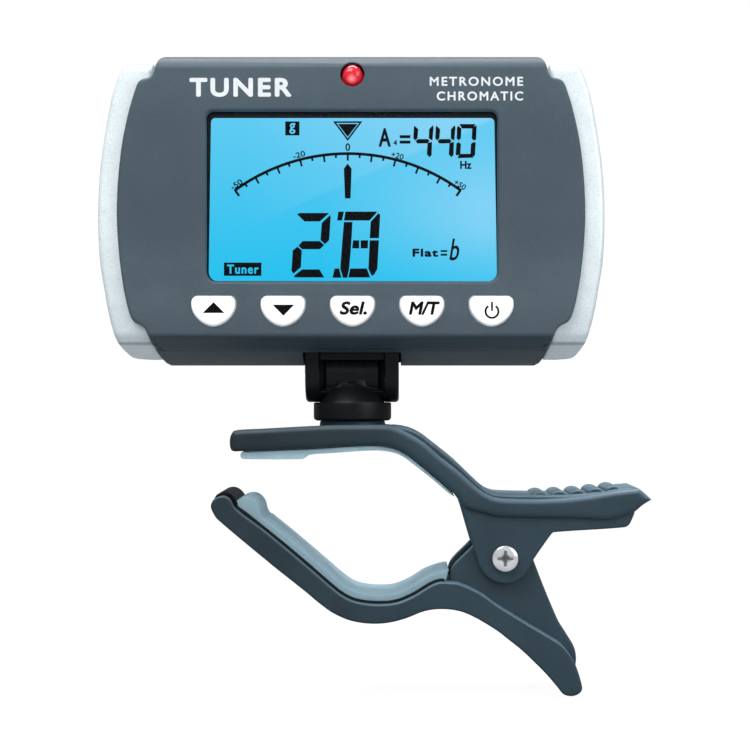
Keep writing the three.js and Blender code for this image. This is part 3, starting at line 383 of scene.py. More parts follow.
# ------------------------------------------------------------------ meshes
class Solid:
    """Collects vertices in millimetres and faces, then becomes one Blender object."""

    def __init__(self):
        self.verts, self.faces = [], []

    def ring(self, spots):
        start = len(self.verts)
        self.verts += [tuple(map(float, spot)) for spot in spots]
        return list(range(start, len(self.verts)))

    def flat(self, outline, y):
        """Ring from (x, z) points, all at one depth."""
        return self.ring([(x, y, z) for x, z in outline])

    def bridge(self, a, b):
        for i in range(len(a)):
            j = (i + 1) % len(a)
            self.faces.append((a[i], a[j], b[j], b[i]))

    def skin(self, rings):
        for a, b in zip(rings, rings[1:]):
            self.bridge(a, b)

    def fan(self, ring, tip):
        for i in range(len(ring)):
            self.faces.append((ring[i], ring[(i + 1) % len(ring)], tip))

    def cap(self, loops, lines=(), axes=(0, 2)):
        """Fills between an outer loop and its holes; lines are extra edges to keep."""
        ids = [i for loop in loops for i in loop]
        place = {vert: k for k, vert in enumerate(ids)}
        flat = np.array(self.verts)[:, list(axes)]
        edges = [(place[a], place[b]) for loop in loops for a, b in zip(loop, loop[1:] + loop[:1])]
        edges += [(place[a], place[b]) for a, b in lines]
        spots, _, faces, origin, _, _ = delaunay_2d_cdt(
            [Vector(flat[i]) for i in ids], edges, [], 0, 1e-7
        )
        back = []
        for spot, sources in zip(spots, origin):
            if sources:
                back.append(ids[sources[0]])
            else:
                back.append(ids[np.argmin(((flat[ids] - np.array(spot)) ** 2).sum(1))])
        triangles = np.array([face[:3] for face in faces])
        x, z = np.array([(spot[0], spot[1]) for spot in spots])[triangles].mean(1).T
        inside = np.zeros(len(x), bool)
        for loop in loops:
            corners = flat[loop]
            for (ax, az), (bx, bz) in zip(corners, np.roll(corners, -1, 0)):
                if az != bz:
                    left = x < (bx - ax) * (z - az) / (bz - az) + ax
                    inside ^= ((az > z) != (bz > z)) & left
        for triangle, keep in zip(triangles, inside):
            face = tuple(back[i] for i in triangle)
            if keep and len(set(face)) == 3:
                self.faces.append(face)

    def lines_at(self, ring, heights, centre):
        """Pairs of ring vertices, one each side of centre, at about each height."""
        verts = self.verts
        right = [i for i in ring if verts[i][0] > centre]
        left = [i for i in ring if verts[i][0] <= centre]
        lines = []
        for z in heights:
            a = min(right, key=lambda i: (abs(verts[i][2] - z), -verts[i][0]))
            b = min(left, key=lambda i: (abs(verts[i][2] - verts[a][2]), verts[i][0]))
            if (a, b) not in lines:
                lines.append((a, b))
        return lines

    def wall(self, loop, front_y, back_y, front, back, steps):
        """Side wall along Y; front and back are the (width, depth) of its rounded edges."""
        turns = quarter(steps)
        stations = [(front_y, 1, front, a) for a in (turns if front[0] else [0.0])]
        stations += [(back_y, -1, back, a) for a in (turns[::-1] if back[0] else [0.0])]
        moves = [round(edge[0] * (1 - math.sin(a)), 6) for _, _, edge, a in stations]
        rings = []
        for (base, sign, edge, a), moved in zip(stations, insets(loop, moves)):
            sink = sign * edge[1] * (1 - math.cos(a))
            rings.append(self.ring([(x, base(z) + sink, z) for x, z in moved]))
        self.skin(rings)
        return rings

    def prism(self, outline, y0, y1, front, back, steps=4, front_deep=None, back_deep=None,
              holes=(), cuts=()):
        """Extruded outline with rounded edges and square holes; returns the solid.

        y0 and y1 are numbers or functions of z. front and back are the edges' widths, and
        also their depths unless those are given. cuts are heights of lines across the faces.
        """
        outline = ccw(outline)
        front_y = y0 if callable(y0) else lambda z: y0
        back_y = y1 if callable(y1) else lambda z: y1
        front_edge = (front, front if front_deep is None else front_deep)
        back_edge = (back, back if back_deep is None else back_deep)
        outer = self.wall(outline, front_y, back_y, front_edge, back_edge, steps)
        inner = [self.wall(hole, front_y, back_y, (0, 0), (0, 0), steps) for hole in holes]
        middle = outline[:, 0].mean()
        for k in (0, -1):
            lines = self.lines_at(outer[k], cuts, middle)
            self.cap([outer[k]] + [rings[k] for rings in inner], lines)
        return self

    def lathe(self, stations, axis, origin, count):
        """Surface of revolution through (radius, height) stations along an axis."""
        rings = []
        for radius, height in stations:
            ring = []
            for i in range(count if radius else 1):
                angle = 2 * math.pi * i / count
                spot = [radius * math.cos(angle), radius * math.sin(angle)]
                spot.insert("XYZ".index(axis), height)
                ring.append([start + move for start, move in zip(origin, spot)])
            rings.append(self.ring(ring))
        for a, b in zip(rings, rings[1:]):
            if len(a) == 1:
                self.fan(b, a[0])
            elif len(b) == 1:
                self.fan(a, b[0])
            else:
                self.bridge(a, b)

    def tube(self, path, radius, count=14):
        """Wire along a path, with shallow cones on its ends."""
        path = np.asarray(path, float)
        tangents = np.gradient(path, axis=0)
        tangents /= np.linalg.norm(tangents, axis=1)[:, None]
        side = np.cross(tangents[0], [0, 1, 0.01])
        side /= np.linalg.norm(side)
        angles = [2 * math.pi * k / count for k in range(count)]
        rings = []
        for spot, tangent in zip(path, tangents):
            side = side - tangent * np.dot(side, tangent)
            side /= np.linalg.norm(side)
            other = np.cross(tangent, side)
            rings.append(self.ring(
                [spot + radius * (math.cos(a) * side + math.sin(a) * other) for a in angles]
            ))
        self.skin(rings)
        for end, sign in ((0, -1), (-1, 1)):
            tip = self.ring([path[end] + tangents[end] * sign * radius * 0.35])[0]
            self.fan(rings[end], tip)

    def screw_head(self, cx, cz, base, facing, radius, height, edge, arm, wide, deep, around,
                   rows):
        """Round head along Y with a domed top and a cross recess.

        facing is -1 towards -Y. The head is height tall in the middle and its dome starts
        at edge; arm, wide and deep size the recess.
        """

        def ease(value):
            value = unit(value)
            return value * value * (3 - 2 * value)

        def top(r):
            share = r / radius
            dome = edge + (height - edge) * math.sqrt(max(0.0, 1 - (0.93 * share) ** 2.4))
            if share > 0.93:
                rim = (share - 0.93) / 0.07
                dome -= (dome - edge * 0.55) * (1 - math.sqrt(max(0.0, 1 - rim * rim)))
            return dome

        def recess(x, z):
            cut = 0.0
            for across, along in ((abs(x), abs(z)), (abs(z), abs(x))):
                half = wide / 2 * (1.25 - 0.45 * min(1.0, along / arm))
                slot = ease((half - across) / 0.07 + 0.5) * ease((arm - along) / 0.16 + 0.5)
                cut = max(cut, slot)
            r = math.hypot(x, z)
            cut = max(cut, unit((arm * 0.56 - r) / 0.12 + 0.5) * 0.9)
            return cut * deep * (1.0 - 0.35 * min(1.0, r / arm))

        centre = self.ring([(cx, base + facing * (top(0) - recess(0, 0)), cz)])[0]
        radii = [radius * (i / rows) ** 0.85 for i in range(1, rows)]
        radii += [radius * 0.985, radius * 0.996, radius]
        rings = []
        for r in radii:
            offsets = circle(0, 0, r, around)
            rings.append(self.ring(
                [(cx + x, base + facing * (top(r) - recess(x, z)), cz + z) for x, z in offsets]
            ))
        self.fan(rings[0], centre)
        self.skin(rings)
        low = self.flat(circle(cx, cz, radius, around), base)
        self.bridge(rings[-1], low)
        self.fan(low, self.ring([(cx, base, cz)])[0])

    def text(self, words, x_range, z_range, y, bold, thick=INK, shear=0.0, turn=0.0, space=1.0):
        """Raised print in Blender's own font, facing -Y.

        It fits a box given by x from the head's middle and z. bold thickens the strokes,
        in mm, turn tilts the words and space spreads their letters.
        """
        curve = bpy.data.curves.new("print", "FONT")
        curve.body, curve.shear = words, shear
        curve.resolution_u, curve.space_character = 4, space
        ob = bpy.data.objects.new("print", curve)
        bpy.context.scene.collection.objects.link(ob)
        bpy.context.view_layer.update()
        graph = bpy.context.evaluated_depsgraph_get()
        me = bpy.data.meshes.new_from_object(ob.evaluated_get(graph))
        bpy.data.objects.remove(ob)
        letters = np.array([v.co for v in me.vertices], float)
        me.calc_loop_triangles()
        polygons = [tuple(p.vertices) for p in me.loop_triangles]
        bpy.data.meshes.remove(me)
        bpy.data.curves.remove(curve)

        (x0, x1), (z0, z1) = [HEAD_X + x for x in x_range], z_range
        low, high = letters.min(0), letters.max(0)
        xs = x0 + bold + (letters[:, 0] - low[0]) / (high[0] - low[0]) * (x1 - x0 - 2 * bold)
        zs = z0 + bold + (letters[:, 1] - low[1]) / (high[1] - low[1]) * (z1 - z0 - 2 * bold)
        # strokes are thickened by laying shifted copies over each other and merging them
        shifts = [(0.0, 0.0)]
        shifts += [(bold * math.cos(a), bold * math.sin(a)) for a in np.arange(8) * math.pi / 4]
        spots, faces = [], []
        for dx, dz in shifts:
            start = len(spots)
            spots += [Vector((x + dx, z + dz)) for x, z in zip(xs, zs)]
            faces += [tuple(start + i for i in polygon) for polygon in polygons]
        merged, _, triangles, _, _, _ = delaunay_2d_cdt(spots, [], faces, 0, 1e-6)
        merged = np.array([(v[0], v[1]) for v in merged])
        triangles = [tuple(t) for t in triangles if len(t) == 3]
        middles = merged[np.array(triangles)].mean(1)
        kept = np.zeros(len(middles), bool)
        order = np.argsort(middles[:, 0])
        sorted_x = middles[order, 0]
        for face in faces:
            a, b, c = (spots[i] for i in face)
            start = np.searchsorted(sorted_x, min(a.x, b.x, c.x))
            near = order[start : np.searchsorted(sorted_x, max(a.x, b.x, c.x))]
            x, y_flat = middles[near].T
            sides = np.array([
                (q.x - p.x) * (y_flat - p.y) - (q.y - p.y) * (x - p.x)
                for p, q in ((a, b), (b, c), (c, a))
            ])
            kept[near] |= (sides >= 0).all(0) | (sides <= 0).all(0)

        cx, cz = (x0 + x1) / 2, (z0 + z1) / 2
        cos, sin = math.cos(turn), math.sin(turn)
        outline = [
            (cx + (x - cx) * cos - (z - cz) * sin, cz + (x - cx) * sin + (z - cz) * cos)
            for x, z in merged
        ]
        front, back = self.flat(outline, y), self.flat(outline, y + thick)
        directed = {}
        for triangle in (t for t, keep in zip(triangles, kept) if keep):
            self.faces.append(tuple(front[i] for i in triangle))
            self.faces.append(tuple(back[i] for i in triangle[::-1]))
            for pair in zip(triangle, triangle[1:] + triangle[:1]):
                directed[pair] = True
        for i, j in directed:
            if (j, i) not in directed:
                self.faces.append((front[i], front[j], back[j], back[i]))

    def sheet(self, outline, y):
        """Flat print: a thin closed prism with square edges."""
        outline = ccw(outline)
        front, back = self.flat(outline, y), self.flat(outline, y + INK)
        self.bridge(front, back)
        self.cap([front])
        self.cap([back])

    def across(self, section, x0, x1):
        """Prism along X from a (y, z) outline."""
        section = ccw(section)
        ends = [self.ring([(x, y, z) for y, z in section]) for x in (x0, x1)]
        self.skin(ends)
        for end in ends:
            self.cap([end], axes=(1, 2))

    def object(self, name, body, material, slot, replaces=None, sharp=40.0, weighted=True):
        me = bpy.data.meshes.new(name)
        me.from_pydata([(x * MM, y * MM, z * MM) for x, y, z in self.verts], [], self.faces)
        bm = bmesh.new()
        bm.from_mesh(me)
        bmesh.ops.remove_doubles(bm, verts=bm.verts, dist=1.2e-6)
        bmesh.ops.dissolve_degenerate(bm, dist=2e-7, edges=bm.edges)
        bmesh.ops.recalc_face_normals(bm, faces=bm.faces)
        bm.to_mesh(me)
        bm.free()
        finish_object(name, me, body, material, replaces, sharp, weighted)


def finish_object(name, me, body, material, replaces, sharp, weighted=True):
    me.polygons.foreach_set("use_smooth", [True] * len(me.polygons))
    me.set_sharp_from_angle(angle=math.radians(sharp))
    me.materials.clear()
    me.materials.append(material)
    ob = bpy.data.objects.new(name, me)
    bpy.context.scene.collection.objects.link(ob)
    if weighted:
        modifier = ob.modifiers.new("weighted", "WEIGHTED_NORMAL")
        modifier.keep_sharp = True
        modifier.weight = 80
    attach(ob, body)
    if replaces:
        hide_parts(replaces)


def round_edges(bm, radius, segments, where=lambda x, y, z: True):
    """Bevels the hard edges whose ends both lie where the test allows."""
    edges = [
        e for e in bm.edges
        if len(e.link_faces) == 2
        and e.calc_face_angle(0) > math.radians(30)
        and all(where(*(c / MM for c in v.co)) for v in e.verts)
    ]
    bmesh.ops.bevel(bm, geom=edges, offset=radius * MM, offset_type="OFFSET", segments=segments,
                    profile=0.5, affect="EDGES", clamp_overlap=False)


def refined(name, node, body, material, bevel, rim=None, hold=None):
    """A new piece from a CAD node's solid, with its hard edges rounded.

    Edges inside rim are first rounded further; hold moves points back within bounds.
    """
    bm = bmesh.new()
    bm.from_mesh(NODES[node].data)
    bmesh.ops.remove_doubles(bm, verts=bm.verts, dist=1.5e-6)
    bmesh.ops.recalc_face_normals(bm, faces=bm.faces)
    bmesh.ops.dissolve_limit(bm, angle_limit=math.radians(0.6), verts=bm.verts, edges=bm.edges)
    if rim:
        round_edges(bm, 0.5, 5, rim)
    if bevel > 0:
        round_edges(bm, bevel, 2)
        bmesh.ops.remove_doubles(bm, verts=bm.verts, dist=1e-6)
    if hold:
        for v in bm.verts:
            v.co = Vector(hold(*(v.co / MM))) * MM
        bmesh.ops.remove_doubles(bm, verts=bm.verts, dist=1e-6)
        bmesh.ops.dissolve_degenerate(bm, dist=1e-6, edges=bm.edges)
    bmesh.ops.triangulate(bm, faces=[f for f in bm.faces if len(f.verts) > 4])
    me = bpy.data.meshes.new(name)
    bm.to_mesh(me)
    bm.free()
    finish_object(name, me, body, material, node, sharp=36.0)


# ------------------------------------------------------------------ shader nodes
def srgb(*channels):
    """Linear colour from 0-255 sRGB channels."""
    shares = [c / 255.0 for c in channels]
    return tuple(c / 12.92 if c <= 0.04045 else ((c + 0.055) / 1.055) ** 2.4
                 for c in shares) + (1.0,)


def scaled(colour, factor):
    return tuple(min(1.0, c * factor) for c in colour[:3]) + (1.0,)


class Nodes:
    """Short ways to build the node tree of a material or a world."""

    def __init__(self, owner, output="Material Output"):
        owner.use_nodes = True
        self.owner, self.tree = owner, owner.node_tree
        self.output = self.tree.nodes[output]
        self.coords = self.new("ShaderNodeTexCoord").outputs

    def new(self, kind, **values):
        node = self.tree.nodes.new(kind)
        for key, value in values.items():
            setattr(node, key, value)
        return node

    def join(self, a, b):
        self.tree.links.new(a, b)

    def feed(self, socket, value):
        """Links a socket into another, or sets a plain value."""
        if isinstance(value, bpy.types.NodeSocket):
            self.join(value, socket)
        else:
            socket.default_value = value

    def noise(self, size_mm, detail=3.0, rough=0.55, stretch=None):
        node = self.new("ShaderNodeTexNoise")
        node.inputs["Scale"].default_value = 1000.0 / size_mm
        node.inputs["Detail"].default_value = detail
        node.inputs["Roughness"].default_value = rough
        source = self.coords["Object"]
        if stretch:
            mapping = self.new("ShaderNodeMapping")
            mapping.inputs["Scale"].default_value = stretch
            self.join(source, mapping.inputs["Vector"])
            source = mapping.outputs["Vector"]
        self.join(source, node.inputs["Vector"])
        return node.outputs["Fac"]

    def ramp(self, value, stops, ease="LINEAR"):
        node = self.new("ShaderNodeValToRGB")
        node.color_ramp.interpolation = ease
        elements = node.color_ramp.elements
        while len(elements) < len(stops):
            elements.new(0.5)
        for element, (position, colour) in zip(elements, stops):
            element.position = position
            element.color = colour if len(colour) == 4 else (*colour, 1.0)
        self.join(value, node.inputs["Fac"])
        return node.outputs["Color"]

    def tones(self, value, base, low, high, ends=(0.3, 0.7)):
        """The base colour scaled from low to high as value crosses ends."""
        return self.ramp(value, [(ends[0], scaled(base, low)), (ends[1], scaled(base, high))])

    def between(self, value, source, target=(0.0, 1.0)):
        """Maps value from the source range to the target range, held at the ends."""
        node = self.new("ShaderNodeMapRange", clamp=True)
        for key, limit in zip(("From Min", "From Max", "To Min", "To Max"), (*source, *target)):
            node.inputs[key].default_value = limit
        self.join(value, node.inputs["Value"])
        return node.outputs["Result"]

    def mix(self, factor, a, b, mode="MIX"):
        node = self.new("ShaderNodeMix", data_type="RGBA", blend_type=mode)
        for index, value in ((0, factor), (6, a), (7, b)):
            self.feed(node.inputs[index], value)
        return node.outputs[2]

    def tint(self, colour, by):
        return self.mix(1.0, colour, by, "MULTIPLY")

    def math(self, operation, a, b=None):
        node = self.new("ShaderNodeMath", operation=operation)
        self.feed(node.inputs[0], a)
        if b is not None:
            self.feed(node.inputs[1], b)
        return node.outputs[0]

    def part(self, vector, which):
        node = self.new("ShaderNodeSeparateXYZ")
        self.join(vector, node.inputs[0])
        return node.outputs[which]

    def axis(self, which):
        """Object coordinate in metres."""
        return self.part(self.coords["Object"], which)

    def axis_mm(self, which):
        return self.math("MULTIPLY", self.axis(which), 1000.0)

    def facing(self):
        """How far the surface faces up."""
        return self.part(self.new("ShaderNodeNewGeometry").outputs["Normal"], 2)

    def rounded_normal(self, radius_mm):
        node = self.new("ShaderNodeBevel")
        node.samples = 4
        node.inputs["Radius"].default_value = radius_mm * MM
        return node.outputs["Normal"]

    def edges(self, normal):
        """How far the rounded normal leans from the face's own: 1 on edges, 0 on flats."""
        node = self.new("ShaderNodeVectorMath", operation="DOT_PRODUCT")
        self.join(normal, node.inputs[0])
        self.join(self.new("ShaderNodeNewGeometry").outputs["Normal"], node.inputs[1])
        away = self.math("SUBTRACT", 1.0, node.outputs["Value"])
        return self.between(away, (0.02, 0.22))

    def bump(self, height, strength, depth_mm, normal=None):
        node = self.new("ShaderNodeBump")
        node.inputs["Strength"].default_value = strength
        node.inputs["Distance"].default_value = depth_mm * MM
        self.join(height, node.inputs["Height"])
        if normal is not None:
            self.join(normal, node.inputs["Normal"])
        return node.outputs["Normal"]

    def emission(self, colour, strength):
        node = self.new("ShaderNodeEmission")
        self.feed(node.inputs["Color"], colour)
        node.inputs["Strength"].default_value = strength
        return node.outputs[0]

    def blend(self, factor, a, b):
        """Mixes two shaders."""
        node = self.new("ShaderNodeMixShader")
        for index, value in enumerate((factor, a, b)):
            self.feed(node.inputs[index], value)
        return node.outputs[0]

    def camera_ray(self):
        return self.new("ShaderNodeLightPath").outputs["Is Camera Ray"]

    def surface(self, shader):
        """Sends the shader to the output and returns the material or world."""
        self.join(shader, self.output.inputs["Surface"])
        return self.owner

    def set(self, **values):
        """Feeds the Principled shader's inputs and returns the material."""
        bsdf = self.tree.nodes["Principled BSDF"]
        for key, value in values.items():
            self.feed(bsdf.inputs[key.replace("_", " ")], value)
        return self.owner


def material_nodes(name):
    return Nodes(bpy.data.materials.new(name))


# ------------------------------------------------------------------ materials
# Painted light and shade on the face over its height, from z 14 to 52.5: share of the height,
# colour. The foot chamfer and the top edge are painted dark as shade; the lower middle and the band
# below the top are painted paler as highlight.
FACE_PAINTED_LIGHT = [
    (0.0, (0.52, 0.54, 0.56)), (0.05, (0.58, 0.6, 0.62)), (0.062, (1.0, 1.0, 1.0)),
    (0.17, (1.2, 1.18, 1.16)), (0.27, (1.16, 1.15, 1.13)), (0.42, (0.92, 0.93, 0.94)),
    (0.75, (0.95, 0.97, 0.98)), (0.93, (1.12, 1.15, 1.13)), (0.975, (1.1, 1.12, 1.1)),
    (0.992, (0.5, 0.52, 0.54)), (1.0, (0.4, 0.42, 0.44)),
]
# Painted shade on the silver caps from z 12 to 32, darker towards the bottom; the dark band is
# painted shade in the groove across their foot.
SILVER_PAINTED_SHADE = [
    (0.0, (0.8, 0.81, 0.82)), (0.14, (0.84, 0.85, 0.86)), (0.151, (0.42, 0.44, 0.47)),
    (0.158, (0.42, 0.44, 0.47)), (0.17, (0.72, 0.74, 0.76)), (0.45, (0.88, 0.89, 0.9)),
    (1.0, (1.0, 1.0, 1.0)),
]


def plastic(name, base, rough, grain_mm=0.16, grain=0.35, tone=0.07, tone_mm=5.0, edge=None,
            edge_highlight_share=0.5, radius=0.12, coat=0.0, shade=None, level=0.5, up=None, along=None):
    """Moulded plastic: fine grain, slow tone changes, painted highlights on edges. Colours are
    sRGB.

    grain_mm and grain size the bump, tone_mm and tone the colour changes, radius rounds the
    shading of edges, and level is specular. edge is the colour of a painted highlight on
    rounded edges, shade paints light and shade by height, along paints shade by x from 0 to
    50, and up paints a highlight on faces that look upwards.
    """
    mat = material_nodes(name)
    base = srgb(*base)
    fine = mat.noise(grain_mm, detail=2, rough=0.6)
    slow = mat.noise(tone_mm, rough=0.5)
    colour = mat.tones(slow, base, 1 - tone, 1 + tone)
    speck = mat.between(mat.noise(grain_mm * 2.2, detail=1), (0.56, 0.72), (0, 0.55))
    colour = mat.mix(speck, colour, scaled(base, 1.22))
    # painted light and shade: the colour is tinted darker or paler by height
    if shade:
        height = mat.between(mat.axis(2), (14 * MM, 52.5 * MM))
        colour = mat.tint(colour, mat.ramp(height, shade, "EASE"))
    normal = mat.rounded_normal(radius) if radius > 0 else None
    # painted highlight: rounded edges are lightened in patches towards the edge colour, as if
    # catching the lamps
    if edge:
        patches = mat.between(mat.noise(1.4), (0.3, 0.62), (0.35, 1))
        edge_highlight = mat.math("MULTIPLY", mat.edges(normal), patches)
        colour = mat.mix(mat.math("MULTIPLY", edge_highlight, edge_highlight_share), colour, srgb(*edge))
    if up:
        # painted highlight: surfaces that face upwards are paler, as if lit from above
        colour = mat.mix(mat.between(mat.facing(), (0.2, 0.7)), colour, srgb(*up))
    if along:
        # painted shade: darker towards the jaws and paler towards the handles, by x
        stops = [(share, (k, k * 1.01, k * 1.03)) for share, k in along]
        colour = mat.tint(colour, mat.ramp(mat.between(mat.axis(0), (0, 0.05)), stops, "EASE"))
    # the bump adds a coarser grain to the fine one
    coarse = mat.math("MULTIPLY", mat.noise(grain_mm * 3.5, detail=2), 0.45)
    height = mat.math("ADD", mat.math("MULTIPLY", fine, 0.75), coarse)
    polish = mat.math("ADD", mat.math("MULTIPLY", fine, 0.5), mat.math("MULTIPLY", slow, 0.5))
    return mat.set(
        Base_Color=colour,
        Roughness=mat.between(polish, (0.3, 0.7), (rough - 0.07, rough + 0.07)),
        Normal=mat.bump(height, strength=grain, depth_mm=0.012, normal=normal),
        Specular_IOR_Level=level, Coat_Weight=coat, Coat_Roughness=0.25,
    )


def metal(name, base, rough, brushed=(1, 1, 1), depth_mm=0.003, radius=0.06, tarnish=None,
          share=1.0, recess=None):
    """Plated or drawn metal in a linear colour: fine scratches, smudges, patchy tone.

    brushed stretches the scratches, share is metallic, and recess is a y range over which
    the colour darkens towards the back: painted shade deep in a screw's recess.
    """
    mat = material_nodes(name)
    scratch = mat.noise(0.06, rough=0.7, stretch=brushed)
    smudge = mat.noise(1.6)
    colour = mat.tones(smudge, base, 0.92, 1.04)
    if tarnish:
        spots = mat.between(mat.noise(0.8, detail=5, rough=0.7), (0.58, 0.75), (0, 0.5))
        colour = mat.mix(spots, colour, tarnish)
    # painted shade: the colour darkens deeper into the recess
    if recess:
        recess_shade = mat.between(mat.axis_mm(1), recess, (0, 0.88))
        colour = mat.mix(recess_shade, colour, (0.04, 0.04, 0.045, 1))
    normal = mat.rounded_normal(radius)
    polish = mat.math(
        "ADD", mat.math("MULTIPLY", scratch, 0.4), mat.math("MULTIPLY", smudge, 0.6)
    )
    return mat.set(
        Base_Color=colour, Metallic=share,
        Roughness=mat.between(polish, (0.35, 0.65), (rough * 0.7, rough * 1.35)),
        Normal=mat.bump(scratch, strength=0.3, depth_mm=depth_mm, normal=normal),
    )


def rubber(name, base, rough=0.62, sides=False):
    """Soft moulded rubber: matt, faintly translucent, with a fine pebble and a little lint.

    sides darkens the two ends of the pad along Y: painted shade on the front end, and a dark band
    along the back end.
    """
    mat = material_nodes(name)
    base = srgb(*base)
    slow = mat.noise(3.2, detail=4)
    colour = mat.tones(slow, base, 0.91, 1.07, ends=(0.28, 0.72))
    pebble = mat.noise(0.14, detail=2, rough=0.6)
    lint = mat.between(mat.noise(0.3, rough=0.7), (0.6, 0.75), (0, 0.3))
    colour = mat.mix(lint, colour, scaled(base, 1.25))
    if sides:
        # painted shade on the pad's front end; a dark band along its back end
        y = mat.axis_mm(1)
        colour = mat.mix(mat.between(y, (-5.95, -5.75), (0.5, 0)), colour, scaled(base, 0.5))
        colour = mat.mix(mat.between(y, (5.25, 5.5), (0, 0.7)), colour, srgb(40, 52, 70))
    # painted light: faces that look downwards are made paler, lifting them out of shade
    painted_underside_light = mat.between(mat.facing(), (-0.75, -0.35), (0.75, 0))
    colour = mat.mix(painted_underside_light, colour, scaled(base, 1.9))
    normal = mat.rounded_normal(0.12)
    height = mat.math("ADD", pebble, mat.math("MULTIPLY", mat.noise(0.7, detail=2), 0.5))
    return mat.set(
        Base_Color=colour,
        Roughness=mat.between(slow, (0.3, 0.7), (rough - 0.06, rough + 0.08)),
        Normal=mat.bump(height, strength=0.35, depth_mm=0.015, normal=normal),
        Subsurface_Weight=0.12, Subsurface_Radius=(0.6, 0.7, 0.8), Subsurface_Scale=0.0006,
        Sheen_Weight=0.12, Specular_IOR_Level=0.35,
    )


def print_ink(name, base, rough=0.45, level=0.5):
    """Screen-printed ink: thin, slightly uneven."""
    mat = material_nodes(name)
    slow = mat.noise(0.8)
    return mat.set(
        Base_Color=mat.tones(slow, srgb(*base), 0.93, 1.05),
        Roughness=mat.between(slow, (0.3, 0.7), (rough - 0.08, rough + 0.08)),
        Normal=mat.bump(mat.noise(0.12, detail=2), strength=0.15, depth_mm=0.004),
        Specular_IOR_Level=level,
    )


def glow(name):
    """Backlit liquid crystal: blue, paler upwards and rightwards, with a painted reflection of the
    window that ends at a slanting edge.
    """
    mat = material_nodes(name)
    x, z = mat.axis_mm(0), mat.axis_mm(2)
    # the slanting line where the painted reflection ends: its slope, and its height over a point
    # near the head's middle
    slope, line_z = 0.438, 36.47
    slant = mat.math("ADD", z, mat.math("MULTIPLY", x, -slope))
    slant = mat.math("SUBTRACT", slant, line_z - slope * (HEAD_X + 0.47))
    above = mat.between(slant, (-0.25, 0.35))
    # levels are on the scale of the red channel: 97 at z 42.48, rising 2.373 per mm
    climb = mat.math("MULTIPLY", mat.math("SUBTRACT", z, 42.48), 2.373)
    base = mat.math("ADD", climb, 97.0)
    # above the line the painted reflection brightens to the right; below it the glow brightens
    # rightwards in a hill about z 31.24
    rise = mat.between(x, (-4, 22), (0, 38))
    from_hill = mat.math("DIVIDE", mat.math("SUBTRACT", z, 31.24), 8.6)
    square = mat.math("POWER", mat.math("ABSOLUTE", from_hill), 2.0)
    hill = mat.math("POWER", 2.718, mat.math("MULTIPLY", square, -1.0))
    side = mat.math("MULTIPLY", mat.between(x, (6.5, 27.2), (0, 62)), hill)
    below = mat.math("SUBTRACT", 1.0, above)
    extra = mat.math(
        "ADD", mat.math("MULTIPLY", above, rise), mat.math("MULTIPLY", below, side)
    )
    cells = mat.between(mat.noise(0.35, detail=2), (0.35, 0.65), (-2, 2))
    level = mat.math("ADD", mat.math("ADD", base, extra), cells)
    level = mat.math("DIVIDE", level, 200.0)
    # colours at each red level, less the haze that the window adds
    shades = [(45, 193, 238), (70, 198, 240), (100, 204, 242), (130, 211, 245), (160, 219, 248)]
    stops = [
        (shade[0] / 200.0, tuple(max(0.0, (c - 0.018) / 0.95) for c in srgb(*shade)[:3]))
        for shade in shades
    ]
    return mat.surface(mat.emission(mat.ramp(level, stops), strength=1.0))


def window(name):
    """Clear hard-coated window: a weak sharp reflection and faint wipe marks."""
    mat = material_nodes(name)
    fresnel = mat.new("ShaderNodeFresnel")
    fresnel.inputs["IOR"].default_value = 1.45
    clear = mat.new("ShaderNodeBsdfTransparent")
    clear.inputs["Color"].default_value = (0.98, 0.99, 0.995, 1)
    gloss = mat.new("ShaderNodeBsdfGlossy")
    wipes = mat.between(mat.noise(4.0, detail=4, rough=0.6), (0.4, 0.7), (0.03, 0.10))
    mat.join(wipes, gloss.inputs["Roughness"])
    reflection = mat.math("MULTIPLY", fresnel.outputs[0], 0.4)
    return mat.surface(mat.blend(reflection, clear.outputs[0], gloss.outputs[0]))


def silver(name):
    """Silver lacquer over plastic: metallic flake, cloudy tone and a soft clear coat, with painted
    shade by height and on upward faces, and a faint painted glow.
    """
    mat = material_nodes(name)
    flake = mat.noise(0.09, detail=2, rough=0.7)
    cloud = mat.noise(2.4, detail=5, rough=0.65)
    colour = mat.ramp(cloud, [(0.25, srgb(226, 238, 242)), (0.75, srgb(243, 250, 251))])
    bright = mat.between(flake, (0.58, 0.72), (0, 0.45))
    colour = mat.mix(bright, colour, (1.0, 1.0, 1.0, 1))
    dull = mat.between(mat.noise(0.22, rough=0.8), (0.32, 0.46), (0.45, 0))
    colour = mat.mix(dull, colour, srgb(150, 170, 180))
    height = mat.between(mat.axis_mm(2), (12, 32))
    colour = mat.tint(colour, mat.ramp(height, SILVER_PAINTED_SHADE))
    # painted shade: faces that look upwards are darker
    top = mat.between(mat.facing(), (0.3, 0.85), (0, 0.8))
    colour = mat.mix(top, colour, srgb(176, 190, 196))
    normal = mat.rounded_normal(0.25)
    # painted light: a faint glow in the lacquer's own colour makes the caps paler
    return mat.set(
        Base_Color=colour, Metallic=0.12, Emission_Color=colour, Emission_Strength=0.09,
        Roughness=mat.between(flake, (0.35, 0.65), (0.26, 0.48)),
        Normal=mat.bump(flake, strength=0.5, depth_mm=0.012, normal=normal),
        Coat_Weight=0.25, Coat_Roughness=0.2,
    )


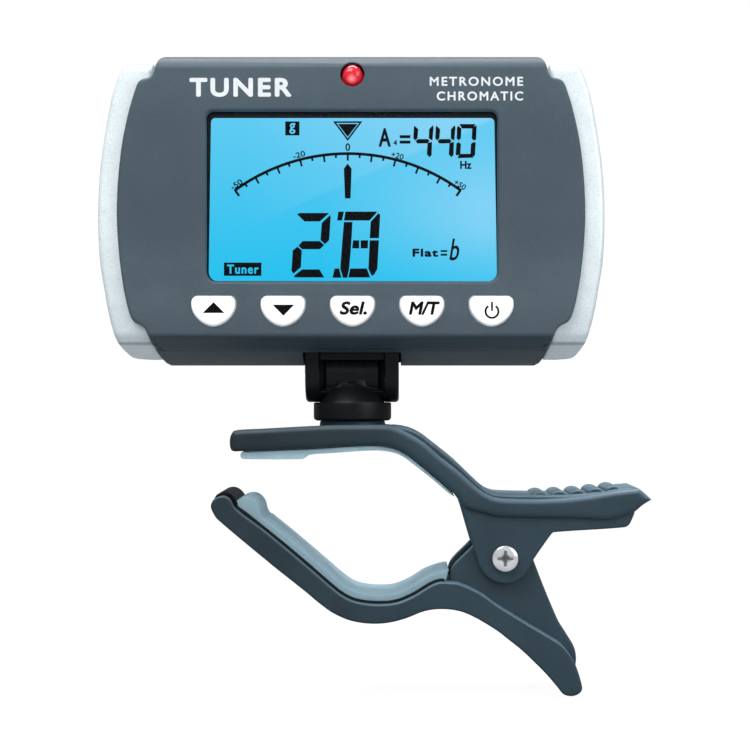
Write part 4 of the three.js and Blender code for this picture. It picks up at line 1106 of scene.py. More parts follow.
def lamp_epoxy(name):
    """Red clear epoxy, faintly lit from inside, with a painted highlight: a pale glowing spot a
    little below the middle of its dome.
    """
    mat = material_nodes(name)
    swirl = mat.noise(0.7)
    colour = mat.ramp(swirl, [(0.3, srgb(180, 8, 30)), (0.7, srgb(215, 22, 46))])
    away = mat.new("ShaderNodeVectorMath", operation="DISTANCE")
    mat.join(mat.coords["Object"], away.inputs[0])
    away.inputs[1].default_value = ((HEAD_X + 0.1) * MM, -8.2 * MM, (LAMP_Z - 0.55) * MM)
    spot = mat.math("MULTIPLY", away.outputs["Value"], 1000.0)
    # painted highlight: pale near the spot, fading to red away from it
    lit = [(0.0, (1.0, 0.55, 0.5)), (0.35, (1.0, 0.25, 0.25)), (0.75, (1.0, 0.03, 0.07))]
    return mat.set(
        Base_Color=colour, Roughness=mat.between(swirl, (0.3, 0.7), (0.06, 0.16)),
        Coat_Weight=0.6, Coat_Roughness=0.05,
        Subsurface_Weight=0.3, Subsurface_Radius=(1.0, 0.15, 0.15), Subsurface_Scale=0.0008,
        Emission_Color=mat.ramp(spot, lit),
        Emission_Strength=mat.between(spot, (0, 0.8), (0.85, 0.22)),
        Normal=mat.bump(swirl, strength=0.1, depth_mm=0.01),
    )


# edge in these finishes is the colour of a painted highlight along rounded edges
FACE = plastic("face_plastic", (68, 83, 94), rough=0.52, grain=0.55, edge=(150, 166, 172),
               shade=FACE_PAINTED_LIGHT, radius=0.18)
REAR = plastic("rear_plastic", (54, 69, 76), rough=0.55, edge=(110, 122, 128),
               edge_highlight_share=0.45, radius=0.2)
DOOR = plastic("door_plastic", (45, 55, 63), rough=0.58, grain_mm=0.2, grain=0.5,
               edge=(108, 120, 126), edge_highlight_share=0.4, radius=0.18)
# up paints a highlight on faces that look upwards, and edge a highlight on rounded edges
LEVER_FINISH = dict(base=(29, 45, 53), rough=0.44, grain_mm=0.17, grain=0.75, tone=0.1,
                    edge=(146, 164, 174), edge_highlight_share=0.6, radius=0.17, up=(80, 99, 110),
                    level=0.42)
# along paints shade, darker towards the jaws: share of the way from x 0 to 50, brightness
LEVER = plastic("lever_plastic", **LEVER_FINISH, along=[
    (0.0, 0.85), (0.12, 1.0), (0.27, 1.15), (0.38, 1.85), (0.66, 1.7), (0.8, 1.8), (1.0, 1.8),
])
LEVER_LOW = plastic("lever_plastic_lower", **LEVER_FINISH, along=[
    (0.0, 1.25), (0.15, 1.45), (0.4, 1.8), (1.0, 1.85),
])
# painted shade: a near-black finish for the bed, standing for the shadow in the groove between band
# and pad
GROOVE_SHADOW = plastic("groove_shadow_plastic", (14, 26, 28), rough=0.5, grain_mm=0.14, grain=0.3,
                 radius=0.1, level=0.15)
TIP = plastic("tip_plastic", (5, 7, 10), rough=0.42, grain_mm=0.3, grain=0.15, radius=0.1,
              level=0.1)
BLACK = plastic("neck_plastic", (8, 11, 15), rough=0.42, grain_mm=0.13, grain=0.3,
                edge=(50, 60, 66), edge_highlight_share=0.2, radius=0.16, level=0.25)
KEY_WHITE = plastic("key_plastic", (247, 247, 245), rough=0.34, grain_mm=0.3, grain=0.12,
                    tone=0.02, radius=0.14)
# painted light: a faint glow makes the white keys paler than the lamps alone would
key_glow_inputs = KEY_WHITE.node_tree.nodes["Principled BSDF"].inputs
key_glow_inputs["Emission Color"].default_value = (1, 1, 1, 1)
key_glow_inputs["Emission Strength"].default_value = 0.24
BLACK_INK = print_ink("black_ink", (6, 6, 8), rough=0.6, level=0.12)
WHITE_INK = print_ink("white_ink", (238, 242, 244))
LCD_INK = print_ink("display_black", (5, 7, 14), rough=0.8, level=0.05)
# painted light: the upper pad's rubber is a paler copy of the lower pad's, lifting its shaded front
# face
PAD_UPPER = rubber("pad_rubber_upper", (182, 214, 226))
PAD_LOWER = rubber("pad_rubber", (158, 190, 204), sides=True)
# recess paints shade deep in the pivot screw's cross recess
NICKEL = metal("nickel", (0.95, 0.95, 0.97), rough=0.16, radius=0.05, depth_mm=0.002,
               share=0.62, recess=(-7.2, -6.95))
STEEL = metal("steel", (0.62, 0.64, 0.66), rough=0.3)
SPRING = metal("spring_wire", (0.5, 0.5, 0.52), rough=0.32, brushed=(1, 0.2, 1))
BRASS = metal("brass", (0.78, 0.60, 0.28), rough=0.3, tarnish=(0.45, 0.30, 0.12, 1))
CELL = metal("cell_steel", (0.72, 0.73, 0.75), rough=0.2, brushed=(8, 1, 1))
GLOW = glow("display_glow")
WINDOW = window("window_clear")
PANEL = plastic("display_edge", (20, 26, 32), rough=0.3, grain_mm=0.4, grain=0.1, radius=0.0)
DIFFUSER = plastic("light_guide", (232, 238, 242), rough=0.4, grain_mm=0.25, grain=0.2,
                   radius=0.05)
BOARD = plastic("board_green", (22, 92, 52), rough=0.35, grain_mm=0.5, grain=0.25, tone=0.15,
                tone_mm=1.4, radius=0.05, coat=0.3)
EPOXY = plastic("potting", (16, 16, 19), rough=0.25, grain_mm=0.8, grain=0.3, radius=0.0,
                coat=0.4)
SWITCH = plastic("switch_body", (50, 52, 56), rough=0.45, radius=0.05)
ELASTOMER = rubber("elastomer", (52, 52, 54), rough=0.75)
SILVER = silver("silver_lacquer")
LAMP = lamp_epoxy("led_epoxy")

# ------------------------------------------------------------------ head
# Depths over height, from (z, y) stations.
front_y = profile(
    [(13.9, -4.45), (14.3, -5.0), (16.0, FACE_Y), (51.2, FACE_Y), (52.15, -7.2), (52.5, -6.2)],
    reach=0.3,
)
cap_front = profile(
    [(12.7, 2.0), (12.9, 1.0), (14.8, -5.0), (14.9, -5.35), (15.02, -5.35), (15.12, -5.95),
     (16.4, -6.78), (50.9, -6.78), (51.7, -5.6)],
    reach=0.1,
)
cap_back = profile([(12.7, 2.7), (13.4, 3.88), (51.1, 3.88), (51.7, 3.1)], reach=0.15)

PRINT = dict(sharp=34.0, weighted=False)  # shading of print and display layers


def key_outline(cx, grow=0.0):
    """Key with a deeply bowed bottom and round top corners."""
    half, top, bottom = KEY_HALF_WIDTH + grow, KEY_TOP + grow, KEY_BOTTOM - grow
    corner, power, count = 0.85, 1.75, 28
    shoulder = bottom + 2.75

    def bow(value):
        return math.copysign(abs(value) ** (2 / power), value)

    outline = []
    for i in range(count + 1):
        a = math.pi + math.pi * i / count
        x = cx + half * bow(math.cos(a))
        outline.append((x, shoulder + (shoulder - bottom) * bow(math.sin(a))))
    for start, side in ((0.0, 1), (math.pi / 2, -1)):
        for i in range(7):
            a = start + math.pi / 2 * i / 6
            x = cx + side * (half - corner) + corner * math.cos(a)
            outline.append((x, top - corner + corner * math.sin(a)))
    return np.array(outline)


def front_shell():
    shell = Solid()
    right = on_head(FACE_EDGE)
    outline = smooth(right[::-1] + [(2 * HEAD_X - x, z) for x, z in right], 0.4, 50)
    outline[:, 1] = np.minimum(outline[:, 1], 52.5)

    def wall_y(x):
        """The wall is shallow out at the sides, behind the silver caps' line."""
        return -6.9 if abs(x - HEAD_X) > 25.8 else SPLIT_Y

    radius, turns = 0.42, quarter(5)
    rings = []
    moves = [round(radius * (1 - math.sin(a)), 6) for a in turns]
    for a, loop in zip(turns, insets(outline, moves)):
        sink = radius * (1 - math.cos(a))
        rings.append(shell.ring([(x, min(front_y(z) + sink, wall_y(x)), z) for x, z in loop]))
    rings.append(shell.ring([(x, wall_y(x), z) for x, z in outline]))
    shell.skin(rings)

    # openings with their edge radii: display, lamp, keys
    display_hole = rounded(HEAD_X - 18.77, HEAD_X + 19.0, 23.1, 45.2, [1.35, 0.95, 0.95, 1.35], 8)
    holes = [(display_hole, 0.4), (circle(BUTTON_X, LAMP_Z, 1.56, 56), 0.12)]
    holes += [(key_outline(x, 0.12), 0.14) for x in KEY_X]
    fronts, backs = [], []
    turns = quarter(4)
    for hole, edge in holes:
        chain = []
        for a, loop in zip(turns, insets(hole, [-edge * (1 - math.sin(a)) for a in turns])):
            sink = edge * (1 - math.cos(a))
            chain.append(shell.ring([(x, front_y(z) + sink, z) for x, z in loop]))
        chain.append(shell.flat(hole, -6.95))
        shell.skin(chain)
        fronts.append(chain[0])
        backs.append(chain[-1])

    lines = shell.lines_at(rings[0], FACE_CUTS, HEAD_X)
    # lines from the lamp opening out to both sides follow the bend near the top
    verts = shell.verts
    for sign in (-1, 1):
        side = [i for i in rings[0] if (verts[i][0] - HEAD_X) * sign > 20]
        for reach, z in ((1.3, 51.05), (1.7, 50.6)):
            x = sign * reach
            start = min(fronts[1], key=lambda i: (verts[i][0] - HEAD_X - x) ** 2
                        + (verts[i][2] - z) ** 2)
            lines.append((start, min(side, key=lambda i: abs(verts[i][2] - z))))
    shell.cap([rings[0]] + fronts, lines)
    step = shell.flat(rounded(HEAD_X - 24.4, HEAD_X + 24.4, 16.75, 51.3, 0.4, 3), -6.92)
    # back: from the wall to an inner step, and from the step to the openings
    shell.cap([rings[-1], step])
    shell.cap([step] + backs)
    shell.object("face_shell", "head", FACE, "slate_shell", "front_shell")


def divided(outline, pieces):
    """Splits each side of a loop into as many pieces as the function says."""
    out = []
    for i in range(len(outline)):
        a, b = np.asarray(outline[i]), np.asarray(outline[(i + 1) % len(outline)])
        count = max(1, pieces(a, b))
        out += [a + (b - a) * k / count for k in range(count)]
    return np.array(out)


def end_cap(name, side):
    outline = smooth([(HEAD_X + side * x, z) for x, z in CAP_EDGE], 0.4, 50)
    outline = divided(outline, lambda a, b: int(math.ceil(np.linalg.norm(b - a) / 0.45)))

    def near_groove(a, b):
        return int(abs(b[1] - a[1]) / 0.08) if 14.4 < (a[1] + b[1]) / 2 < 15.6 else 1

    cap = Solid().prism(divided(outline, near_groove), cap_front, cap_back, 0.75, 0.6, steps=5,
                        front_deep=0.7, back_deep=0.5, cuts=CAP_CUTS)

    def squared(x, y, z):
        """The foot of the moulding is flatter and squarer than the rest of its outline."""
        foot, out = unit((14.7 - z) / 1.9), abs(x - HEAD_X)
        outward = 0.55 * foot * unit((out - 27) / 1.5)
        inward = 0.3 * foot * unit(27 - out)
        return x + side * outward - side * inward, y, z + 0.42 * foot

    cap.verts = [squared(*v) for v in cap.verts]
    cap.object(f"silver_cap_{name}", "head", SILVER, "silver_cap", f"end_cap_{name}", sharp=48)


def key_legend(name):
    """Triangle, word or power sign on a key."""
    legend = Solid()
    y = KEY_FRONT - 0.015
    if name in KEY_TRIANGLES:
        legend.sheet(on_head(KEY_TRIANGLES[name]), y)
    elif name in KEY_WORDS:
        legend.text(*KEY_WORDS[name], y, bold=0.085, shear=0.2)
    else:
        cx, cz, radius = HEAD_X + 18.23, 19.2, 0.82
        angles = np.linspace(0.6, 2 * math.pi - 0.6, 40)
        outer, inner = [
            [(cx + r * math.sin(a), cz + r * math.cos(a)) for a in angles]
            for r in (radius + 0.14, radius - 0.12)
        ]
        legend.sheet(outer + inner[::-1], y)
        left, right, low, high = cx - 0.12, cx + 0.12, cz + 0.05, cz + 1.24
        legend.sheet([(left, low), (right, low), (right, high), (left, high)], y)
    legend.object(f"legend_{name}", f"key_{name}", BLACK_INK, "white_key", **PRINT)


def keys():
    stem = [(0, -6.2), (1.1, -6.2), (1.1, -5.7), (1.0, -5.6), (0, -5.6)]
    for name, x in zip(KEY_NAMES, KEY_X):
        key = Solid()
        key.prism(key_outline(x), KEY_FRONT, -6.62, 0.55, 0.0, steps=6, front_deep=0.3)
        key.prism(key_outline(x, 0.42), -6.7, -6.15, 0.1, 0.0, steps=2)
        key.lathe(stem, "Y", (x, 0, 19.4), 28)
        key.object(f"keycap_{name}", f"key_{name}", KEY_WHITE, "white_key", f"key_{name}")
        key_legend(name)


def display_layers():
    """Window, glowing field and the dark mask round it."""
    lens = rounded(HEAD_X - 19.6, HEAD_X + 19.6, 22.3, 46.2, 0.6, 5)
    Solid().prism(lens, -6.75, -5.97, 0.12, 0.08, steps=2).object(
        "display_window", "head", WINDOW, "clear_window", "window_lens", sharp=34)
    field = rounded(HEAD_X - 18.8, HEAD_X + 19.2, 23.0, 44.8, [1.3, 0.6, 0.6, 1.3], 6)
    Solid().prism(field, -5.90, -5.87, 0, 0).object(
        "display_field", "head", GLOW, "lcd_glass", **PRINT)

    # the lit area narrows a little towards the top
    low, high = 23.22, 44.55
    view = []
    for x, z in rounded(-1, 1, low, high, [1.25, 0.55, 0.55, 1.25], 6):
        share = (z - low) / 21.33
        edge = 19.02 - 0.36 * share - 1 if x > 0 else -18.64 + 0.32 * share + 1
        view.append((HEAD_X + (edge + x), z))
    mask = rounded(HEAD_X - 19.55, HEAD_X + 19.55, 22.35, 46.15, 0.2, 3)
    Solid().prism(mask, -5.955, -5.915, 0, 0, holes=[np.array(view)]).object(
        "display_mask", "head", PANEL, "lcd_glass", **PRINT)


def scale(marks):
    """Arc above the needle, with its ticks."""

    def at(radius, angle, aside=0.0):
        sin, cos = math.sin(angle), math.cos(angle)
        return SCALE_X + radius * sin + aside * cos, SCALE_Z + radius * cos - aside * sin

    angles, half = np.radians(np.linspace(-36.2, 36.2, 61)), 0.19
    arc = [at(SCALE_RADIUS + half, a) for a in angles]
    arc += [at(SCALE_RADIUS - half, a) for a in angles[::-1]]
    marks.sheet(arc, MARKS_Y)
    for i in range(-10, 11):
        angle = math.radians(36.0 * i / 10)
        inner = SCALE_RADIUS - (0.92 if i % 2 == 0 else 0.52)
        half = 0.13 if abs(i) < 10 else 0.16
        corners = [(SCALE_RADIUS, -half), (SCALE_RADIUS, half), (inner, half), (inner, -half)]
        marks.sheet([at(radius, angle, aside) for radius, aside in corners], MARKS_Y)


def display_marks():
    marks = Solid()
    for polygon in SEGMENTS.split(";"):
        loop = ccw(on_head(points(polygon)))
        small = loop[:, 0].min() > HEAD_X + 6 and loop[:, 1].min() > 38
        marks.sheet(insets(loop, [-0.075 if small else -0.025])[0], MARKS_Y)
    outer, inner = on_head(TRIANGLE_OUTER), on_head(TRIANGLE_INNER)
    for i in range(3):
        j = (i + 1) % 3
        marks.sheet([outer[i], outer[j], inner[j], inner[i]], MARKS_Y)
    marks.sheet(on_head(TRIANGLE_MIDDLE), MARKS_Y)
    scale(marks)
    for words, x, z, tilt in SCALE_WORDS:
        marks.text(words, (x - 0.82, x + 0.82), (z - 0.38, z + 0.38), MARKS_Y, bold=0.02,
                   turn=math.radians(tilt))
    for words, x_range, z_range, bold, shear, space in DISPLAY_WORDS:
        marks.text(words, x_range, z_range, MARKS_Y, bold, shear=shear, space=space)
    for x0, x1, z0, z1 in LABEL_BLOCKS:
        marks.sheet(on_head([(x0, z0), (x1, z0), (x1, z1), (x0, z1)]), MARKS_Y)
    marks.object("display_marks", "head", LCD_INK, "lcd_glass", **PRINT)

    clear = Solid()
    y = MARKS_Y - 0.012
    clear.text("g", (-8.1, -7.32), (42.5, 43.9), y, bold=0.04, thick=0.01)
    clear.text("Tuner", (-16.25, -12.1), (24.2, 25.42), y, bold=0.05, thick=0.01, space=1.15)
    clear.object("display_clear_letters", "head", GLOW, "lcd_glass", **PRINT)


def lamp():
    body = Solid()
    body.lathe([
        (0, -4.6), (1.45, -4.6), (1.45, -5.15), (1.4, -5.2), (1.3, -5.25), (1.3, -7.3),
        (1.28, -7.55), (1.22, -7.78), (1.09, -8.0), (0.9, -8.17), (0.64, -8.29),
        (0.34, -8.36), (0, -8.38),
    ], "Y", (BUTTON_X, 0, LAMP_Z), 56)
    for side in (-1, 1):
        leg = [(HEAD_X + side * 0.62, -4.7 + 0.1 * i, LAMP_Z) for i in range(20)]
        body.tube(leg, 0.2, 8)
    body.object("lamp", "head", LAMP, "led_red", "status_led", sharp=34)


def face_print():
    words = Solid()
    words.text("TUNER", (-20.9, -7.7), (46.98, 49.45), PRINT_Y, bold=0.13, space=1.2)
    words.text("METRONOME", (10.2, 22.3), (48.4, 49.6), PRINT_Y, bold=0.04, space=1.25)
    words.text("CHROMATIC", (11.1, 22.3), (46.5, 47.7), PRINT_Y, bold=0.04, space=1.25)
    words.object("face_print", "head", WHITE_INK, "slate_shell", **PRINT)


# ------------------------------------------------------------------ clip
def upper_lever():
    band = Solid().prism(smooth(UPPER_BAND), -BAND_HALF, BAND_HALF, 0.95, 0.95, steps=7,
                         front_deep=0.6, back_deep=0.6)

    def sloped(x, y, z):
        """Over the jaw, the top falls a little towards the back."""
        share = (y + BAND_HALF) / (2 * BAND_HALF)
        return x, y, z - share * 0.34 * unit((17.5 - x) / 6) * unit((z - 2.6) / 0.8)

    band.verts = [sloped(*v) for v in band.verts]
    band.object("upper_band", "upper_clip", LEVER, "lever_plastic", "upper_lever")

    rib = Solid().prism(smooth(UPPER_RIB, corner=55), -5.7, 5.7, 0.4, 0.4)
    for x, z in RIDGES:
        lobe = [(x + 1.1 * math.cos(a), z - 0.7 + 0.78 * math.sin(a))
                for a in np.linspace(0, math.pi, 17)]
        lobe += [(x - 1.1, z - 1.1), (x + 1.1, z - 1.1)]
        rib.prism(lobe, -4.9, 4.9, 0.3, 0.3)
    rib.object("upper_rib", "upper_clip", LEVER, "lever_plastic")

    cheeks = Solid()
    for y0, y1 in ((-6.45, -5.25), (5.25, 6.45)):
        cheeks.prism(smooth(UPPER_CHEEK), y0, y1, 0.3, 0.2, holes=[circle(*PIVOT, 1.05, 40)])
    # collar on top of the band, below the head
    cheeks.lathe([
        (2.75, 3.9), (4.4, 3.9), (4.4, 4.3), (4.37, 4.66), (4.3, 4.86), (4.15, 4.92),
        (2.9, 4.92), (2.75, 4.8), (2.75, 3.9),
    ], "Z", (HEAD_X, 0, 0), 56)
    cheeks.object("upper_cheeks", "upper_clip", LEVER, "lever_plastic")


def lower_lever():
    band = Solid().prism(smooth(LOWER_BAND), -BAND_HALF, BAND_HALF, 0.32, 0.32, steps=5)
    band.verts = [(x, y, max(z, -30.77)) for x, y, z in band.verts]
    band.object("lower_band", "lower_clip", LEVER_LOW, "lever_plastic", "lower_lever")

    # raised bed that carries the pad, tapering towards the tip; its near-black finish is painted
    # shade in the groove
    line = np.array(BED_LINE)
    tangent = np.gradient(line, axis=0)
    tangent /= np.linalg.norm(tangent, axis=1)[:, None]
    up = np.stack([-tangent[:, 1], tangent[:, 0]], 1)
    lift = np.minimum(0.34, 0.12 + 0.22 * np.arange(len(line)))[:, None]
    bed = np.concatenate([line + up * lift, (line - up * 0.6)[::-1]])
    Solid().prism(smooth(bed, 0.4), -6.45, 6.45, 0.12, 0.12, steps=2).object(
        "lower_bed", "lower_clip", GROOVE_SHADOW, "lever_plastic")

    Solid().prism(smooth(LOWER_TIP, 0.25, 60), -6.5, 6.9, 0.3, 0.3).object(
        "lower_tip", "lower_clip", TIP, "lever_plastic")
    cheeks = Solid()
    for y0, y1 in ((-5.0, -3.8), (3.8, 5.0)):
        cheeks.prism(smooth(LOWER_CHEEK), y0, y1, 0.25, 0.2, holes=[circle(*PIVOT, 1.08, 40)])
    cheeks.object("lower_cheeks", "lower_clip", LEVER_LOW, "lever_plastic")


def pads():
    Solid().prism(smooth(UPPER_PAD, 0.25, 42), -PAD_HALF, PAD_HALF, 0.16, 0.16, steps=3).object(
        "grip_upper", "upper_clip", PAD_UPPER, "pad_rubber", "upper_pad", sharp=50)
    Solid().prism(smooth(LOWER_PAD, 0.25, 42), -PAD_HALF, PAD_HALF, 0.2, 0.2).object(
        "grip_lower", "lower_clip", PAD_LOWER, "pad_rubber", "lower_pad", sharp=50)


def pivot_bolt():
    x, z = PIVOT
    bolt = Solid()
    bolt.screw_head(x, z, base=-6.55, facing=-1, radius=1.75, height=0.85, edge=0.34,
                    arm=1.0, wide=0.42, deep=0.5, around=128, rows=44)
    shank = [(0, -6.6), (1.0, -6.6), (1.0, 6.9), (0.75, 7.3), (0, 7.35)]
    bolt.lathe(shank, "Y", (x, 0, z), 40)
    bolt.object("pivot_bolt", "upper_clip", NICKEL, "nickel_screw", "pivot_screw")


def back_screw(name, replaces, x, z, shank, **head):
    """Screw driven into the head from behind."""
    screw = Solid()
    screw.screw_head(x, z, facing=1, around=72, rows=24, **head)
    screw.lathe(shank, "Y", (x, 0, z), 24)
    screw.object(name, "head", STEEL, "bright_steel", replaces)


def back_screws():
    shank = [(0, -5.95), (0.5, -5.95), (0.85, -5.45), (0.85, 3.0), (0, 3.0)]
    for row, z in (("t", 48.8), ("b", 24.5)):
        for column, side in (("l", -1), ("r", 1)):
            tag = row + column
            back_screw(f"screw_{tag}", f"case_screw_{tag}", HEAD_X + side * 22.4, z, shank,
                       base=2.95, radius=1.6, height=1.2, edge=0.5,
                       arm=0.95, wide=0.38, deep=0.55)
    shank = [(0, 0.9), (0.4, 0.9), (0.72, 1.4), (0.72, 6.15), (0, 6.15)]
    for tag, side in (("left", -1), ("right", 1)):
        back_screw(f"screw_bracket_{tag}", f"bracket_screw_{tag}", HEAD_X + side * 3.6, 20,
                   shank, base=6.1, radius=1.45, height=0.8, edge=0.36,
                   arm=0.85, wide=0.36, deep=0.42)


def spring():
    """Coil round the pivot; its far leg is a separate piece that rides the lower lever."""
    x, z = PIVOT
    half = COIL_TURNS * COIL_PITCH / 2
    first = math.radians(105)
    last = first + COIL_TURNS * 2 * math.pi + math.radians(20)

    def at(a):
        y = -half + 2 * half * (a - first) / (last - first)
        return x + COIL_RADIUS * math.cos(a), y, z + COIL_RADIUS * math.sin(a)

    def leg(angle, sign, end):
        """Curve that leaves the coil along its tangent and reaches the end point."""
        start, end = np.array(at(angle)), np.array(end)
        leave = np.array((-math.sin(angle), 0, math.cos(angle))) * sign
        leave = leave * np.linalg.norm(end - start) * 0.75
        arrive = (end - start) * 0.9
        return [hermite(u, start, leave, end, arrive) for u in np.linspace(0.08, 1, 16)]

    coil = [at(a) for a in np.linspace(first, last - math.radians(30), 190)]
    tail = [at(a) for a in np.linspace(last - math.radians(80), last, 18)]
    wire = Solid()
    wire.tube(leg(first, -1, (42.5, -half + 0.1, -8.35))[::-1] + coil, WIRE_RADIUS)
    wire.object("spring_coil", "upper_clip", SPRING, "spring_steel", "torsion_spring",
                sharp=60, weighted=False)
    wire = Solid()
    wire.tube(tail + leg(last, 1, (35.2, half - 0.1, -21.3)), WIRE_RADIUS * 0.985)
    wire.object("spring_leg", "lower_clip", SPRING, "spring_steel", sharp=60, weighted=False)


# ------------------------------------------------------------------ neck
def ear_inner(radius):
    """Distance of the ears' coned inner face from the head's middle."""
    return 1.5 + 0.7917 * radius


def within_ears(x, y, z):
    """Keeps the rounded edges of the ears inside their own outline.

    That is a half disc below the pin and straight sides above it.
    """
    if z < 13.95 and y < 5.0:
        radius = math.hypot(y, z - TILT_Z)
        if z < TILT_Z and radius > EAR_RADIUS:
            y, z = y * EAR_RADIUS / radius, TILT_Z + (z - TILT_Z) * EAR_RADIUS / radius
        y = max(-EAR_RADIUS, min(EAR_RADIUS, y))
        inner = ear_inner(min(EAR_RADIUS, math.hypot(y, z - TILT_Z)))
        if abs(x - HEAD_X) < inner:
            x = HEAD_X + math.copysign(inner, x - HEAD_X)
    return x, y, z


def ear_rim(x, y, z):
    """The outer parts of the ears."""
    return abs(x - HEAD_X) > 6.15 and z < 13.9 and y < 4.9


def friction_rings():
    """Rings either side of the tongue, with webs and a skirt inside the ears."""
    rings = Solid()
    for side in (-1, 1):
        section = [(1.05, 1.9), (2.0, 2.72), (2.93, 3.45), (2.93, 3.3), (2.93, 1.9), (1.05, 1.9)]
        rings.lathe([(r, side * out) for r, out in section], "X", (HEAD_X, 0, TILT_Z), 72)
    # webs that follow the coned inside of the ears, below the pin only
    low, high, flat = 2.2, 3.56, 1.9
    for side in (-1, 1):
        section = [(low, flat), (low, ear_inner(low) - 0.07),
                   (high, ear_inner(high) - 0.07), (high, flat)]
        web = [
            rings.ring([(HEAD_X + side * out, r * math.cos(a), TILT_Z + r * math.sin(a))
                        for r, out in section])
            for a in np.radians(np.linspace(-142, -38, 22))
        ]
        rings.skin(web)
        rings.faces += [tuple(web[0]), tuple(web[-1])]
    # skirt that follows the inside of the ears down to the collar
    rings.lathe([
        (0, 7.12), (5.14, 7.12), (5.12, 7.28), (5.0, 7.36), (4.31, 7.365), (4.13, 7.6),
        (3.96, 7.81), (3.78, 8.03), (3.6, 8.26), (2.4, 8.9), (0, 8.9),
    ], "Z", (HEAD_X, 0, 0), 72)
    rings.object("friction_rings", "neck", BLACK, "black_plastic")


def saddle():
    """Block above the rings, hollowed round the tilt axis, with a plate at each side."""
    block = Solid()
    radius, bottom, top = 3.06, 13.0, 14.3
    start = math.asin(2 / radius)
    hollow = [(radius * math.cos(a), TILT_Z + radius * math.sin(a))
              for a in np.linspace(start, math.pi - start, 25)]
    section = [(-2.9, bottom), (-2.9, top), (5.15, top), (5.15, bottom)] + hollow
    block.across(section, HEAD_X - 4.3, HEAD_X + 4.3)
    for side in (-1, 1):
        block.across([(2.9, 12.75), (4.5, 12.75), (4.5, 15.2), (2.9, 15.2)],
                     HEAD_X + side * 6.15, HEAD_X + side * 6.54)
    block.object("saddle", "head", BLACK, "black_plastic")


# ------------------------------------------------------------------ assembly
front_shell()
end_cap("left", -1)
end_cap("right", 1)
keys()
display_layers()
display_marks()
lamp()
face_print()
upper_lever()
lower_lever()
pads()
pivot_bolt()
back_screws()
spring()
refined("back_shell", "rear_shell", "head", REAR, bevel=0.1)
refined("door", "battery_door", "door", DOOR, bevel=0.1)
refined("bracket", "tilt_bracket", "head", BLACK, bevel=0.14, rim=ear_rim,
        hold=within_ears)
refined("post", "swivel_post", "neck", BLACK, bevel=0.0)
friction_rings()
saddle()
for name, node, body, bevel in (
    ("hinge_pin", "tilt_pin", "head", 0.08),
    ("nut", "pivot_nut", "upper_clip", 0.1),
    ("sleeve", "pivot_sleeve", "upper_clip", 0.05),
    ("swivel_bolt", "swivel_screw", "neck", 0.05),
):
    refined(name, node, body, STEEL, bevel)

# CAD nodes that stay as they are get their own finishes
KEPT = {
    "lcd_panel": PANEL, "backlight_panel": DIFFUSER, "zebra_strip": ELASTOMER,
    "main_pcb": BOARD, "controller_blob": EPOXY, "crystal_can": STEEL, "buzzer": BRASS,
    "pickup_disc": BRASS, "coin_cell": CELL, "contact_negative": BRASS,
    "contact_positive": BRASS, "swivel_washer": STEEL,
}
KEPT.update({f"switch_{name}": SWITCH for name in KEY_NAMES})
for node, material in KEPT.items():
    NODES[node].data.materials.clear()
    NODES[node].data.materials.append(material)


# ------------------------------------------------------------------ studio
def paper():
    """Near-white to the camera, and a grey bounce to everything else."""
    mat = material_nodes("pale_paper")
    fibres = [(0.3, (0.80, 0.81, 0.82)), (0.7, (0.84, 0.85, 0.86))]
    mat.set(Base_Color=mat.ramp(mat.noise(1.2, detail=4), fibres), Roughness=0.9)
    bounce = mat.new("ShaderNodeBsdfDiffuse")
    bounce.inputs["Color"].default_value = (0.26, 0.27, 0.28, 1)
    bsdf = mat.tree.nodes["Principled BSDF"].outputs[0]
    seen = mat.blend(0.94, bsdf, mat.emission((1, 1, 1, 1), strength=1.03))
    return mat.surface(mat.blend(mat.camera_ray(), bounce.outputs[0], seen))


def floor():
    """Floor that sweeps up into a backdrop."""
    floor_z, bend_y, bend, half_width = -31.2, 260, 160, 3000
    path = [(-3000.0, floor_z)]
    path += [(bend_y + bend * math.sin(a), floor_z + bend * (1 - math.cos(a)))
             for a in np.linspace(0, math.pi / 2, 14)]
    path += [(bend_y + bend, 700)]
    verts = [(x * MM, y * MM, z * MM) for y, z in path for x in (-half_width, half_width)]
    me = bpy.data.meshes.new("sweep")
    me.from_pydata(verts, [], [(i, i + 1, i + 3, i + 2) for i in range(0, len(verts) - 2, 2)])
    me.polygons.foreach_set("use_smooth", [True] * len(me.polygons))
    me.materials.append(paper())
    ob = bpy.data.objects.new("floor", me)
    bpy.context.scene.collection.objects.link(ob)


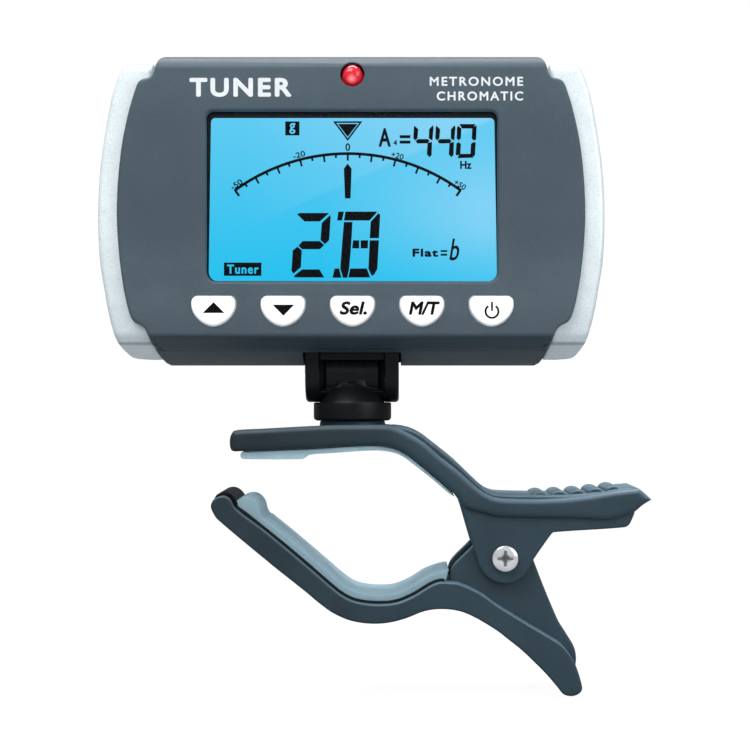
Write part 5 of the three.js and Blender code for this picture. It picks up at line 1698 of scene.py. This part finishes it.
def surroundings():
    """Soft light from above; the camera itself sees plain white beyond the paper."""
    world = bpy.data.worlds.new("studio")
    bpy.context.scene.world = world
    sky = Nodes(world, "World Output")
    height = sky.between(sky.part(sky.coords["Generated"], 2), (-1, 1))
    stops = [(0.30, (0.10, 0.11, 0.12)), (0.75, (0.95, 0.98, 1.0))]
    soft = sky.tree.nodes["Background"]
    sky.join(sky.ramp(height, stops), soft.inputs["Color"])
    soft.inputs["Strength"].default_value = 0.45
    blank = sky.new("ShaderNodeBackground")
    blank.inputs["Color"].default_value = (1, 1, 1, 1)
    blank.inputs["Strength"].default_value = 1.0
    sky.surface(sky.blend(sky.camera_ray(), soft.outputs[0], blank.outputs[0]))


def area_light(name, where, towards, size, power, colour=(1, 1, 1)):
    light = bpy.data.lights.new(name, "AREA")
    light.shape, light.size, light.size_y = "RECTANGLE", size[0] * MM, size[1] * MM
    light.energy, light.color = power, colour
    ob = bpy.data.objects.new(name, light)
    bpy.context.scene.collection.objects.link(ob)
    ob.location = Vector(where) * MM
    aim = Vector(towards) - Vector(where)
    ob.rotation_euler = aim.to_track_quat("-Z", "Y").to_euler()
    return ob


def lights():
    area_light("key", where=(-120, -260, 330), towards=(12, 0, 15), size=(260, 200), power=0.95)
    area_light("fill", where=(260, -240, 120), towards=(12, 0, 10), size=(220, 220), power=0.36,
               colour=(0.93, 0.97, 1.0))
    front = area_light("front", where=(20, -420, 10), towards=(12, 0, 8), size=(300, 240),
                       power=0.5)
    front.visible_glossy = False
    area_light("top", where=(10, 60, 320), towards=(12, 0, 20), size=(320, 160), power=1.4)


def camera():
    cam = bpy.data.cameras.new("camera")
    cam.lens, cam.sensor_width = 86.86, 36.0
    cam.shift_x, cam.shift_y = -0.03333, 0.01333
    cam.clip_start, cam.clip_end = 0.01, 10.0
    ob = bpy.data.objects.new("camera", cam)
    bpy.context.scene.collection.objects.link(ob)
    ob.location = Vector((16.75, -242.25, 9.69)) * MM
    ob.rotation_euler = (math.pi / 2, 0, 0)
    bpy.context.scene.camera = ob
    bpy.context.scene.view_settings.view_transform = "Standard"


floor()
surroundings()
lights()
camera()
